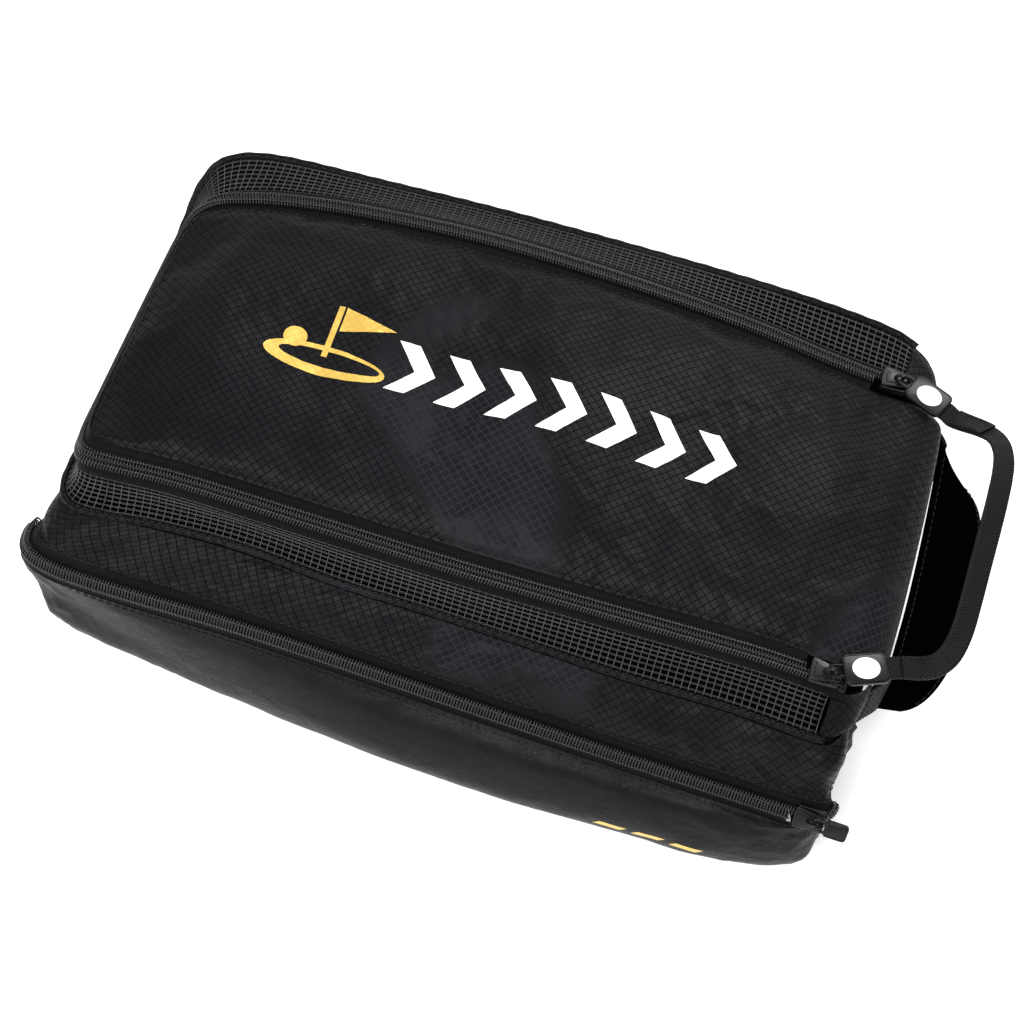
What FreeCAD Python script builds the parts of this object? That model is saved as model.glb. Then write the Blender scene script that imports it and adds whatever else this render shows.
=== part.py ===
"""A soft golf shoe bag lying on its back panel: zip-round flap on top, zipped pocket on the near side.

Millimetres. +Z is up, +X points to the handle end, -Y to the pocket side. The origin is the middle
of the face that the bag rests on.
"""

import FreeCAD
import Part
import math
import os

os.makedirs("parts", exist_ok=True)
V = FreeCAD.Vector

# Shell: plan size, corner radii and the heights of the piped seam.
HALF_LENGTH = 172.0
NEAR_SEAM = (-97.0, 96.0)
FAR_SEAM = (107.0, 106.0)
TOE_SEAM_Z = 84.0
HANDLE_SEAM_Z = 95.0
FLOOR_NEAR_Y = -103.0
FLOOR_FAR_Y = 103.0
BACK_NEAR_Y = -109.0
TOE_CORNER_R = 34.0
HANDLE_CORNER_R = 14.0
FLOOR_INSET = 2.0
BASE_INSET = 4.0
NET_INSET = 1.0
CORNER_STEPS = 4
FABRIC = 1.6
PANEL = 2.4
GAP = 0.4
PIPING_R = 1.9

# Main zip: two straight runs and one run across the toe end.
NEAR_RAIL = (-83.0, 113.0)
FAR_RAIL = (76.0, 106.0)
RAIL_CORNER_X = -146.0
TOE_RAIL_X = -170.0
TOE_RAIL_Z = 106.0
TOE_RAIL_INSET = 24.0
FLAP_RAIL_END_X = 146.0
BAG_RAIL_END_X = 166.0
COIL_INNER = 0.8
COIL_OUTER = 4.2
COIL_HEIGHT = 2.4
TAPE_EDGE = 9.0
TAPE = 0.8
STOP = 2.4

# Flap: a crowned panel that turns up about a line at the handle end, and the cover beyond that line.
CREST_Z = 128.0
CREST_TOE_Z = 112.0
CREST_SHOULDER_Z = 124.0
CREST_STEPS = 8
HINGE_X = 147.0
HINGE_Z = 130.0
HINGE_GAP = 0.6
FLAP_MARGIN = 6.0
FLAP_TOE_DROP = 5.0
FLAP_TURNS = (80, 55, 30, 0)
# The cover's section past the hinge: where it is, how far its edges fall in, and how far its crest drops.
COVER_SECTION = ((165.7, 1, 3), (178.0, 5, 13), (181.0, 8, 22))

# Sliders and pulls.
SLIDER_X = 149.0
SLIDER_LENGTH = 13.0
SLIDER_WIDTH = 10.4
SLIDER_PLATE = 1.5
SLIDER_POST = 0.8
BAIL_R = 3.2
BAIL_WIRE = 0.8
EYE_LIFT = 1.2
EYE_BAR_R = 0.9
MAIN_PULL = (19.0, 12.0)
PULL_NECK = 7.0
PULL_THICK = 2.4
BADGE_LONG = 5.2
BADGE_SHORT = 3.8
BADGE_THICK = 0.5
STRAP_WIDTH = 10.0
STRAP_THICK = 1.4
STRAP_REACH = 27.0
STRAP_RISE = 16.0
STRAP_STEPS = 16

# Pocket on the near side.
POCKET_TAPE_EDGE = 6.0
GUSSET_LIFT = 7.0
GUSSET_SET = 3.0
GUSSET_SEAM_DROP = 2.0
POCKET_HALF = 181.0
POCKET_RAIL_Y = -119.0
POCKET_TOE_Z = 70.0
POCKET_HANDLE_Z = 60.0
POCKET_BACK_Y = -81.0
POCKET_TOE_R = 36.0
POCKET_HANDLE_R = 5.5
POCKET_END_DROP = 4.0
POCKET_TILT = math.radians(30)
POCKET_SLIDER_X = 162.0
POCKET_PULL = (10.0, 8.0)
RUN_IN = 2.0
LEATHER = 1.8
LEATHER_BACK_Y = -104.5
LEATHER_FOOT_Y = -112.0
LEATHER_FOOT_Z = 5.0
LEATHER_INSET = 10.0
LEATHER_END_BULGE = 0.38
# The leather's section from its zip edge to its foot: how far it stands out, and its share of the height.
LEATHER_SECTION = ((9.5, 0.88), (19.0, 0.72), (25.0, 0.52), (20.0, 0.26), (0.0, 0.0))

# Carry handle.
HANDLE_X = 184.0
HANDLE_OUT = 17.0
HANDLE_Z = 80.0
HANDLE_NEAR_Y = -62.0
HANDLE_FAR_Y = 60.0
HANDLE_WIDTH = 30.0
HANDLE_THICK = 2.0
HANDLE_LEAN = math.radians(48)
HANDLE_STEPS = 12
TAB_LENGTH = 17.0


def save(name, shape):
    """Write one node, after checking that it is sound."""
    if not shape.isValid() or shape.Volume <= 0:
        raise ValueError(f"{name} isn't a sound solid")
    shape.exportStep(f"parts/{name}.step")


def trimmed(shape, *others):
    """The largest piece of a shape left clear of its sewn neighbours."""
    left = shape.cut(list(others))
    return max(left.Solids, key=lambda solid: solid.Volume)


def mix(a, b, share):
    """The value a share of the way from a to b."""
    return a + (b - a) * share


def unit(vector):
    """A vector's direction, as a copy of length 1."""
    return V(vector).normalize()


def loft(sections):
    """A closed solid through polygons with equal numbers of corners."""
    wires = [Part.makePolygon(points + [points[0]]) for points in sections]
    solid = Part.makeLoft(wires, True, True)
    if solid.Volume < 0:
        solid.reverse()
    return solid


def corner(centre_x, centre_y, radius, start, z_from, z_to):
    """Stations of a quarter turn in plan that climbs evenly from z_from to z_to."""
    points = []
    for step in range(CORNER_STEPS + 1):
        share = step / CORNER_STEPS
        angle = math.radians(start + 90 * share)
        x = centre_x + radius * math.cos(angle)
        y = centre_y + radius * math.sin(angle)
        points.append(V(x, y, mix(z_from, z_to, share)))
    return points


def ring(inset, near, far, toe_z, handle_z):
    """Stations round the shell: far toe corner, near toe corner, near and far handle corners."""
    half = HALF_LENGTH - inset
    toe_r = TOE_CORNER_R - inset
    end_r = HANDLE_CORNER_R - inset
    points = corner(toe_r - half, far[0] - toe_r, toe_r, 90, far[1], toe_z)
    points += corner(toe_r - half, near[0] + toe_r, toe_r, 180, toe_z, near[1])
    points += corner(half - end_r, near[0] + end_r, end_r, 270, near[1], handle_z)
    points += corner(half - end_r, far[0] - end_r, end_r, 0, handle_z, far[1])
    return points


# Stretches of a ring, as first and last station.
TOE_STRETCH = (0, 2 * CORNER_STEPS + 1)
NEAR_STRETCH = (2 * CORNER_STEPS + 1, 2 * CORNER_STEPS + 2)
HANDLE_STRETCH = (2 * CORNER_STEPS + 2, 4 * CORNER_STEPS + 3)
FAR_STRETCH = (4 * CORNER_STEPS + 3, 4 * CORNER_STEPS + 4)


def front(inset, y_front, y_back, z_toe, z_handle):
    """Stations of the U round the pocket, from the toe end to the handle end."""
    half = POCKET_HALF - inset
    toe_r = min(POCKET_TOE_R, y_back - y_front - 1)
    end_r = min(POCKET_HANDLE_R, y_back - y_front - 1)
    toe_end = z_toe - POCKET_END_DROP
    handle_end = z_handle - POCKET_END_DROP
    points = [V(-half, y_back, toe_end)]
    points += corner(toe_r - half, y_front + toe_r, toe_r, 180, toe_end, z_toe)
    points += corner(half - end_r, y_front + end_r, end_r, 270, z_handle, handle_end)
    return points + [V(half, y_back, handle_end)]


def shell(rows, thickness, stretch, heading=None):
    """A skin of even thickness over rows of stations; the rows run from its top to its bottom.

    Stations run so that the direction along them, crossed with the direction down, points inwards.
    heading fixes that direction where every station lies in one flat section.
    """
    count = len(rows[0])
    first, last = stretch
    sections = []
    for raw in range(first, last + 1):
        ahead = rows[0][min(raw + 1, last) % count]
        behind = rows[0][max(raw - 1, first) % count]
        along = heading or ahead - behind
        outer = [row[raw % count] for row in rows]
        inner = []
        for k, point in enumerate(outer):
            down = outer[min(k + 1, len(outer) - 1)] - outer[max(k - 1, 0)]
            inner.append(point + unit(along.cross(down)) * thickness)
        sections.append(outer + inner[::-1])
    return loft(sections)


def ribbon(stations, inner, outer, low, high):
    """A band along stations of (point, across, normal), between two offsets and two heights."""
    sections = []
    for point, across, normal in stations:
        corners = ((inner, low), (outer, low), (outer, high), (inner, high))
        sections.append([point + across * side + normal * lift for side, lift in corners])
    return loft(sections)


def tube(points, radius, sides=8):
    """A round cord through points, mitred where it turns."""
    sections = []
    turns = [2 * math.pi * k / sides for k in range(sides)]
    for i, point in enumerate(points):
        along = unit(points[min(i + 1, len(points) - 1)] - points[max(i - 1, 0)])
        side = unit(along.cross(V(0, 0, 1)))
        up = side.cross(along)
        sections.append([point + side * radius * math.cos(t) + up * radius * math.sin(t) for t in turns])
    return loft(sections)


def rail_corner(side_x, side, toe_inset, across, opening):
    """Stations where the main zip turns from a long side to the toe end, or back."""
    y, z = side
    reach_x = side_x - TOE_RAIL_X
    stations = []
    for step in range(CORNER_STEPS + 1):
        share = step / CORNER_STEPS
        turn = math.pi / 2 * (share if opening else 1 - share)
        x = side_x - reach_x * math.sin(turn)
        inward = toe_inset * (1 - math.cos(turn))
        point = V(x, y - across.y * inward, mix(z, TOE_RAIL_Z, math.sin(turn)))
        fall = V(0, 0, -1)
        out = V(-1, 0, 0)
        stations.append(
            (
                point,
                unit(across * math.cos(turn) + fall * math.sin(turn)),
                unit(V(0, 0, 1) * math.cos(turn) + out * math.sin(turn)),
            )
        )
    return stations


def main_rail(end_x):
    """Stations of the main zip's centre line: near side, toe end, far side."""
    near, far, up = V(0, -1, 0), V(0, 1, 0), V(0, 0, 1)
    stations = [(V(end_x, *NEAR_RAIL), near, up)]
    stations += rail_corner(RAIL_CORNER_X, NEAR_RAIL, TOE_RAIL_INSET, near, True)
    stations += rail_corner(RAIL_CORNER_X, FAR_RAIL, TOE_RAIL_INSET, far, False)
    stations.append((V(end_x, *FAR_RAIL), far, up))
    return stations


def pocket_frame(along):
    """The across (up the front) and the outward normal of the pocket's zip, along a direction."""
    level = unit(along.cross(V(0, 0, 1)))
    normal = unit(level * math.cos(POCKET_TILT) + V(0, 0, 1) * math.sin(POCKET_TILT))
    return unit(normal.cross(along)), normal


def pocket_rail(y_back, end_x=None):
    """Stations of the pocket's zip; with end_x it stops there, short of the handle corner."""
    points = front(0, POCKET_RAIL_Y, y_back, POCKET_TOE_Z, POCKET_HANDLE_Z)
    toe_turn = points[: CORNER_STEPS + 2]
    handle_turn = points[CORNER_STEPS + 2 :]
    run = [pocket_point(toe_turn[-1].x + RUN_IN)]
    if end_x is None:
        points = toe_turn + run + [pocket_point(handle_turn[0].x - RUN_IN)] + handle_turn
    else:
        points = toe_turn + run + [pocket_point(end_x)]
    stations = []
    for i, point in enumerate(points):
        along = unit(points[min(i + 1, len(points) - 1)] - points[max(i - 1, 0)])
        across, normal = pocket_frame(along)
        stations.append((point, across, normal))
    return stations


def pocket_point(x):
    """A point on the straight front run of the pocket's zip."""
    toe_x = POCKET_TOE_R - POCKET_HALF
    handle_x = POCKET_HALF - POCKET_HANDLE_R
    share = (x - toe_x) / (handle_x - toe_x)
    return V(x, POCKET_RAIL_Y, mix(POCKET_TOE_Z, POCKET_HANDLE_Z, share))


def crown(x, edge_drop, crest_z, inset=0):
    """The flap's crowned top at x, as points from its near edge to its far edge."""
    near_y = NEAR_RAIL[0] + FLAP_MARGIN + inset
    far_y = FAR_RAIL[0] - FLAP_MARGIN - inset
    middle_z = (NEAR_RAIL[1] + FAR_RAIL[1]) / 2
    points = []
    for k in range(CREST_STEPS + 1):
        share = k / CREST_STEPS
        chord = mix(NEAR_RAIL[1], FAR_RAIL[1], share) - edge_drop
        rise = (crest_z - middle_z + edge_drop) * 4 * share * (1 - share)
        points.append(V(x, mix(near_y, far_y, share), chord + rise))
    return points


def flap_panel():
    """The flap: its toe end narrows with the zip's corners, and its edge falls to the zip there."""
    reach = RAIL_CORNER_X - TOE_RAIL_X - PANEL
    rows = []
    for turn in FLAP_TURNS:
        sine = math.sin(math.radians(turn))
        inset = TOE_RAIL_INSET * (1 - math.cos(math.radians(turn)))
        crest = mix(CREST_SHOULDER_Z, CREST_TOE_Z, sine)
        rows.append(crown(RAIL_CORNER_X - reach * sine, FLAP_TOE_DROP * sine, crest, inset))
    rows.append(crown(0, 0, CREST_Z))
    rows.append(crown(HINGE_X - HINGE_GAP, 0, CREST_Z))
    return loft([row + [point - V(0, 0, FABRIC) for point in reversed(row)] for row in rows])


def handle_cover():
    """The fixed end of the top panel: over the handle end and down to the seam."""
    foot = [V(HALF_LENGTH + 1, p.y, HANDLE_SEAM_Z + GAP) for p in crown(0, 0, CREST_Z)]
    rows = [crown(HINGE_X + HINGE_GAP, 0, CREST_Z)]
    rows += [crown(x, edge_drop, CREST_Z - drop) for x, edge_drop, drop in COVER_SECTION]
    rows.append(foot)
    return shell(rows, FABRIC, (0, CREST_STEPS), V(0, 1, 0))


def placed(shape, point, across, normal):
    """Move a shape drawn along X, with Y across and Z outwards, to a rail."""
    along = across.cross(normal)
    rows = []
    for axis in ("x", "y", "z"):
        rows += [getattr(v, axis) for v in (along, across, normal, point)]
    matrix = FreeCAD.Matrix(*rows)
    moved = shape.copy()
    moved.Placement = FreeCAD.Placement(matrix)
    return moved


def slider():
    """A zip slider: top plate with flanges, lower plate, a thin post between them, and a bail."""
    top_low = COIL_HEIGHT + GAP
    low_top = -TAPE - GAP
    half = SLIDER_WIDTH / 2
    flange_y = COIL_OUTER + GAP
    lower_half = COIL_OUTER - GAP
    body = Part.makeBox(SLIDER_LENGTH, 2 * half, SLIDER_PLATE, V(0, -half, top_low))
    for y in (-half, flange_y):
        body = body.fuse(Part.makeBox(SLIDER_LENGTH, half - flange_y, top_low - GAP, V(0, y, GAP)))
    lower = Part.makeBox(SLIDER_LENGTH, 2 * lower_half, SLIDER_PLATE, V(0, -lower_half, low_top - SLIDER_PLATE))
    post_at = V(SLIDER_LENGTH / 3, -SLIDER_POST / 2, low_top)
    post = Part.makeBox(SLIDER_LENGTH / 3, SLIDER_POST, top_low - low_top, post_at)
    bail = Part.makeTorus(BAIL_R, BAIL_WIRE, V(0, 0, 0), V(0, 1, 0))
    upper = Part.makeBox(4 * BAIL_R, 4 * BAIL_R, 2 * BAIL_R, V(-2 * BAIL_R, -2 * BAIL_R, 0))
    bail = bail.common(upper)
    bail.translate(V(SLIDER_LENGTH - BAIL_R - BAIL_WIRE, 0, top_low + SLIDER_PLATE))
    return body.fuse([lower, post, bail]).removeSplitter()


def eye_offset():
    """The middle of a bail's eye, from the slider's start, along and outwards."""
    height = COIL_HEIGHT + GAP + SLIDER_PLATE
    return SLIDER_LENGTH - BAIL_R - BAIL_WIRE, height + EYE_LIFT


def badge():
    """An oval inlay in the top of a pull's plate, drawn from the bail's eye."""
    centre = V(plate_start() + MAIN_PULL[0] / 2, 0, PULL_THICK / 2 - BADGE_THICK)
    oval = Part.Ellipse(centre, BADGE_LONG, BADGE_SHORT).toShape()
    return Part.Face(Part.Wire(oval)).extrude(V(0, 0, BADGE_THICK))


def plate_start():
    """Where a pull's plate starts, from the bail's eye."""
    return BAIL_R + BAIL_WIRE + GAP


def pull(length, width):
    """A pull: crossbar through the bail, two arms and a plate, drawn along +X from the bail's eye."""
    arm = (PULL_NECK - 2 * (BAIL_WIRE + GAP)) / 2
    bar = Part.makeCylinder(EYE_BAR_R, PULL_NECK, V(0, -PULL_NECK / 2, 0), V(0, 1, 0))
    plate = Part.makeBox(length, width, PULL_THICK, V(plate_start(), -width / 2, -PULL_THICK / 2))
    upright = [edge for edge in plate.Edges if edge.BoundBox.ZLength > PULL_THICK / 2]
    plate = plate.makeFillet(width / 5, upright)
    arms = []
    for y in (-PULL_NECK / 2, PULL_NECK / 2 - arm):
        reach = plate_start() + PULL_THICK + EYE_BAR_R
        arms.append(Part.makeBox(reach, arm, PULL_THICK / 2, V(-EYE_BAR_R, y, -PULL_THICK / 4)))
    return plate.fuse(arms + [bar])


def pull_strap(near, far):
    """The webbing that joins the two pulls: it loops out past the handle end and arches over the crown."""
    stations = []
    for k in range(STRAP_STEPS + 1):
        share = k / STRAP_STEPS
        bow = math.sin(math.pi * share)
        angle = math.pi * (share - 0.5)
        x = mix(near.x, far.x, share) + STRAP_REACH * bow**0.6
        side = 0.5 + math.sin(angle) / 2
        y = mix(near.y, far.y, side)
        z = mix(near.z, far.z, side) + STRAP_RISE * 4 * side * (1 - side)
        across = V(math.cos(angle), math.sin(angle), 0)
        stations.append((V(x, y, z), across, V(0, 0, 1)))
    half = STRAP_WIDTH / 2
    return ribbon(stations, -half, half, -STRAP_THICK / 2, STRAP_THICK / 2)


def carry_handle():
    """The wide webbing handle: a bow from anchor to anchor whose face leans up at mid-length."""
    stations = []
    for k in range(HANDLE_STEPS + 1):
        share = k / HANDLE_STEPS
        bow = math.sin(math.pi * share) ** 0.6
        lean = HANDLE_LEAN * bow
        across = V(math.sin(lean), 0, -math.cos(lean))
        normal = V(math.cos(lean), 0, math.sin(lean))
        point = V(HANDLE_X + HANDLE_OUT * bow, mix(HANDLE_NEAR_Y, HANDLE_FAR_Y, share), HANDLE_Z)
        stations.append((point, across, normal))
    half = HANDLE_WIDTH / 2
    return ribbon(stations, -half, half, 0, HANDLE_THICK)


def pocket_panel():
    """The bulging leather front: upright sections along the pocket's foot and part of its corners."""
    path = front(LEATHER_INSET, LEATHER_FOOT_Y, LEATHER_BACK_Y, 0, 0)[1:-1]
    reach = pocket_point(POCKET_HALF).x * 2
    sections = []
    for i, point in enumerate(path):
        along = path[min(i + 1, len(path) - 1)] - path[max(i - 1, 0)]
        out = unit(V(along.y, -along.x, 0))
        bulge = mix(LEATHER_END_BULGE, 1, abs(out.y) ** 4)
        top = mix(POCKET_TOE_Z, POCKET_HANDLE_Z, point.x / reach + 0.5)
        outer = []
        inner = []
        for stand, share in LEATHER_SECTION:
            z = mix(LEATHER_FOOT_Z, top, share)
            outer.append(V(point.x, point.y, z) + out * stand * bulge)
            inner.append(V(point.x, point.y, z) + out * (stand * bulge - LEATHER))
        sections.append(outer + inner[::-1])
    return loft(sections)


def pocket_end(side, top_z):
    """The fixed cloth that closes the pocket's end, behind the leather's edge."""
    rows = []
    for half, z in ((HALF_LENGTH + PANEL, top_z), (HALF_LENGTH + GAP, PANEL)):
        row = [V(side * half, POCKET_BACK_Y, z), V(side * half, LEATHER_BACK_Y + 2 * GAP, z)]
        rows.append(row if side < 0 else row[::-1])
    return shell(rows, FABRIC, (0, 1))


def bag_tape():
    """The main zip's tape on the net's side."""
    return ribbon(main_rail(BAG_RAIL_END_X), COIL_INNER, TAPE_EDGE - GAP, -TAPE, 0)


def toe_piping(cord):
    """The piping round the toe end, along a ring of stations."""
    return tube(cord[TOE_STRETCH[0] : TOE_STRETCH[1] + 1], PIPING_R)


def cord_ring():
    """Stations of the piping, just outside the seam."""
    out = PIPING_R + GAP / 2
    near = (NEAR_SEAM[0] - out, NEAR_SEAM[1])
    far = (FAR_SEAM[0] + out, FAR_SEAM[1])
    return ring(-out, near, far, TOE_SEAM_Z, HANDLE_SEAM_Z)


def save_shell():
    """The fixed walls, mesh strips and piping."""
    seam = ring(0, NEAR_SEAM, FAR_SEAM, TOE_SEAM_Z, HANDLE_SEAM_Z)
    floor = ring(FLOOR_INSET, (FLOOR_NEAR_Y, PANEL), (FLOOR_FAR_Y, PANEL), PANEL, PANEL)
    near_top = (NEAR_RAIL[0] - TAPE_EDGE, NEAR_RAIL[1] - TAPE)
    far_top = (FAR_RAIL[0] + TAPE_EDGE, FAR_RAIL[1] - TAPE)
    net_top = ring(NET_INSET, near_top, far_top, TOE_RAIL_Z - TAPE_EDGE, HANDLE_SEAM_Z)
    walls = [seam, floor]
    strips = [net_top, seam]
    toe_wall = shell(walls, FABRIC, TOE_STRETCH)
    handle_wall = shell(walls, FABRIC, HANDLE_STRETCH)
    far_wall = trimmed(shell(walls, FABRIC, FAR_STRETCH), toe_wall, handle_wall)
    divider = trimmed(shell(walls, FABRIC, NEAR_STRETCH), toe_wall, handle_wall)
    mesh_toe = trimmed(shell(strips, FABRIC, TOE_STRETCH), toe_wall, far_wall, divider, bag_tape())
    mesh_far = trimmed(shell(strips, FABRIC, FAR_STRETCH), mesh_toe, far_wall, handle_wall, toe_wall)
    mesh_near = trimmed(shell(strips, FABRIC, NEAR_STRETCH), mesh_toe, divider, handle_wall, toe_wall)
    save("toe_wall", toe_wall)
    save("handle_wall", handle_wall)
    save("far_wall", far_wall)
    save("pocket_divider", divider)
    save("mesh_toe", mesh_toe)
    save("mesh_far", mesh_far)
    save("mesh_near", mesh_near)
    first, last = HANDLE_STRETCH
    near_corner = shell(strips, FABRIC, (first, first + CORNER_STEPS - 1))
    far_corner = shell(strips, FABRIC, (last - CORNER_STEPS + 1, last))
    save("end_corner_near", trimmed(near_corner, mesh_near, handle_wall, divider))
    save("end_corner_far", trimmed(far_corner, mesh_far, handle_wall, far_wall))
    cord = cord_ring()
    piping_toe = toe_piping(cord)
    save("piping_toe", piping_toe)
    save("piping_near", trimmed(tube(cord[NEAR_STRETCH[0] : NEAR_STRETCH[1] + 1], PIPING_R), piping_toe))
    save("piping_far", trimmed(tube([cord[-1], cord[0]], PIPING_R), piping_toe))
    outline = ring(BASE_INSET, (BACK_NEAR_Y, 0), (FLOOR_FAR_Y - PANEL, 0), 0, 0)
    face = Part.Face(Part.makePolygon(outline + [outline[0]]))
    save("back_panel", face.extrude(V(0, 0, PANEL - GAP / 2)))


def save_main_zip():
    """The main zip's two tapes, two coil rows and end stops."""
    bag_rail = main_rail(BAG_RAIL_END_X)
    flap_rail = main_rail(FLAP_RAIL_END_X)
    tape_flap = ribbon(flap_rail, -TAPE_EDGE, -COIL_INNER, -TAPE, 0)
    save("main_tape_bag", bag_tape())
    save("main_coil_bag", ribbon(bag_rail, COIL_INNER, COIL_OUTER, 0, COIL_HEIGHT))
    save("main_tape_flap", tape_flap)
    save("flap_panel", trimmed(flap_panel(), tape_flap))
    save("main_coil_flap", ribbon(flap_rail, -COIL_OUTER, -COIL_INNER, 0, COIL_HEIGHT))
    stops = []
    for y, z in (NEAR_RAIL, FAR_RAIL):
        side = math.copysign(1, y)
        start = min(y + side * COIL_INNER, y + side * COIL_OUTER)
        base = V(BAG_RAIL_END_X, start, z - TAPE)
        stops.append(Part.makeBox(STOP, COIL_OUTER - COIL_INNER, COIL_HEIGHT + TAPE, base))
    save("main_zip_stops", Part.makeCompound(stops))


def save_sliders():
    """The main sliders, their pulls and the strap between them."""
    along, up = eye_offset()
    ends = []
    for name, (y, z) in (("near", NEAR_RAIL), ("far", FAR_RAIL)):
        start = V(SLIDER_X, y, z)
        eye = start + V(along, 0, up)
        across, normal = V(0, 1, 0), V(0, 0, 1)
        save(f"main_slider_{name}", placed(slider(), start, across, normal))
        save(f"pull_{name}", placed(pull(*MAIN_PULL).cut(badge()), eye, across, normal))
        save(f"badge_{name}", placed(badge(), eye, across, normal))
        ends.append(eye + V(plate_start() + MAIN_PULL[0], 0, 0))
    save("pull_strap", pull_strap(*ends))


def save_pocket():
    """The pocket: gusset, end panels, zip, leather front, slider and pull."""
    seam_z = NEAR_SEAM[1] - GUSSET_SEAM_DROP
    seam = front(POCKET_HALF - HALF_LENGTH - PIPING_R, NEAR_SEAM[0] - PIPING_R, POCKET_BACK_Y, seam_z, seam_z)
    high_toe, high_handle = POCKET_TOE_Z + GUSSET_LIFT, POCKET_HANDLE_Z + GUSSET_LIFT
    edge = front(1, POCKET_RAIL_Y + GUSSET_SET, POCKET_BACK_Y, high_toe, high_handle)
    whole = (0, len(seam) - 1)
    save("pocket_gusset", trimmed(shell([seam, edge], FABRIC, whole), toe_piping(cord_ring())))
    save("pocket_end_toe", pocket_end(-1, POCKET_TOE_Z - POCKET_END_DROP - GUSSET_LIFT))
    save("pocket_end_handle", pocket_end(1, POCKET_HANDLE_Z - POCKET_END_DROP - GUSSET_LIFT))
    bag_side = pocket_rail(POCKET_BACK_Y)
    panel_side = pocket_rail(LEATHER_BACK_Y, POCKET_SLIDER_X - 2)
    save("pocket_tape_bag", ribbon(bag_side, COIL_INNER, POCKET_TAPE_EDGE, -TAPE, 0))
    save("pocket_coil_bag", ribbon(bag_side, COIL_INNER, COIL_OUTER, 0, COIL_HEIGHT))
    save("pocket_tape_panel", ribbon(panel_side[1:], -POCKET_TAPE_EDGE, -COIL_INNER, -TAPE, 0))
    save("pocket_coil_panel", ribbon(panel_side[1:], -COIL_OUTER, -COIL_INNER, 0, COIL_HEIGHT))
    save("pocket_panel", pocket_panel())
    start = pocket_point(POCKET_SLIDER_X)
    direction = unit(pocket_point(POCKET_SLIDER_X + SLIDER_LENGTH) - start)
    across, normal = pocket_frame(direction)
    along, up = eye_offset()
    save("pocket_slider", placed(slider(), start, across, normal))
    save("pocket_pull", placed(pull(*POCKET_PULL), start + direction * along + normal * up, across, normal))


def save_handle():
    """The carry handle and the sewn tabs that lead from the end wall to it."""
    save("carry_handle", carry_handle())
    half = HANDLE_WIDTH / 2
    down, out = V(0, 0, -1), V(1, 0, 0)
    for name, y, side in (("near", HANDLE_NEAR_Y, -1), ("far", HANDLE_FAR_Y, 1)):
        wall = V(HALF_LENGTH + GAP, y + side * TAB_LENGTH, HANDLE_Z)
        loop = V(HANDLE_X, y + side * GAP, HANDLE_Z)
        save(f"handle_tab_{name}", ribbon([(wall, down, out), (loop, down, out)], -half, half, 0, HANDLE_THICK))


save_shell()
save("handle_cover", handle_cover())
save_main_zip()
save_sliders()
save_pocket()
save_handle()
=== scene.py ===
import math
from collections import namedtuple

import bpy
import numpy as np
from mathutils import Matrix, Vector
from mathutils.bvhtree import BVHTree
from mathutils.geometry import delaunay_2d_cdt


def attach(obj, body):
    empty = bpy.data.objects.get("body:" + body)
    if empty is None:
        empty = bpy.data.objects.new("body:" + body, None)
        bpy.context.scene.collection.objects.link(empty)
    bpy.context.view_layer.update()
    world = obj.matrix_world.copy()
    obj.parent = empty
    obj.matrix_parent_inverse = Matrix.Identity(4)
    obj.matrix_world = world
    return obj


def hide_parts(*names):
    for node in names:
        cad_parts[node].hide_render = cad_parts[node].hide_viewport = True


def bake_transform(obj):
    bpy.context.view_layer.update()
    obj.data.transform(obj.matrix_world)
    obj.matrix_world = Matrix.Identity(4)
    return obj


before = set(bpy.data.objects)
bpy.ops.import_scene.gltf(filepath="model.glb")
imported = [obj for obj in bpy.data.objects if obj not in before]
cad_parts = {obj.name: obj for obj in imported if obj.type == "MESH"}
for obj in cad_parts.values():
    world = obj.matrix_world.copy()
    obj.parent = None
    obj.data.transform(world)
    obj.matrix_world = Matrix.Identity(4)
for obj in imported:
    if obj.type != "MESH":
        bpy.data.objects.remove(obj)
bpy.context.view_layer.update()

MM = 0.001
X, Y, Z = np.eye(3)
rng = np.random.default_rng(7)


# ---- numbers
def lengths(p):
    """How far along a line each of its points is."""
    return np.r_[0, np.cumsum(np.linalg.norm(np.diff(p, axis=0), axis=1))]


def read_at(line, length, at):
    """A line's rows, read at the given lengths along it."""
    return np.stack([np.interp(at, length, line[:, k]) for k in range(line.shape[1])], 1)


def smooth(points, count):
    """Points evenly spaced along a smooth curve through the given rows; extra columns ride along."""
    p = np.asarray(points, float)
    ext = np.vstack([2 * p[0] - p[1], p, 2 * p[-1] - p[-2]])
    out = []
    for i in range(1, len(ext) - 2):
        a, b, c, d = ext[i - 1 : i + 3]
        for t in np.linspace(0, 1, 24, endpoint=False):
            square = (2 * a - 5 * b + 4 * c - d) * t**2
            out.append(0.5 * (2 * b + (c - a) * t + square + (3 * b - a - 3 * c + d) * t**3))
    out.append(ext[-2])
    out = np.array(out)
    length = lengths(out[:, :3])
    return read_at(out, length, np.linspace(0, length[-1], count))


def resample(line, count):
    """The same line with its points evenly spaced."""
    if len(line) < 12:
        return smooth(line, count)
    return read_at(line, lengths(line) / lengths(line)[-1], np.linspace(0, 1, count))


def unit(v):
    return v / np.maximum(np.linalg.norm(v, axis=-1, keepdims=True), 1e-9)


def tangents(line):
    return unit(np.gradient(line, axis=0))


def grid_normals(P):
    return unit(np.cross(np.gradient(P, axis=0), np.gradient(P, axis=1)))


def between(a, b, share):
    """A grid of points from line a to line b."""
    return a[:, None] * (1 - share)[None, :, None] + b[:, None] * share[None, :, None]


def ease(t):
    t = np.clip(t, 0, 1)
    return t * t * (3 - 2 * t)


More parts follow.
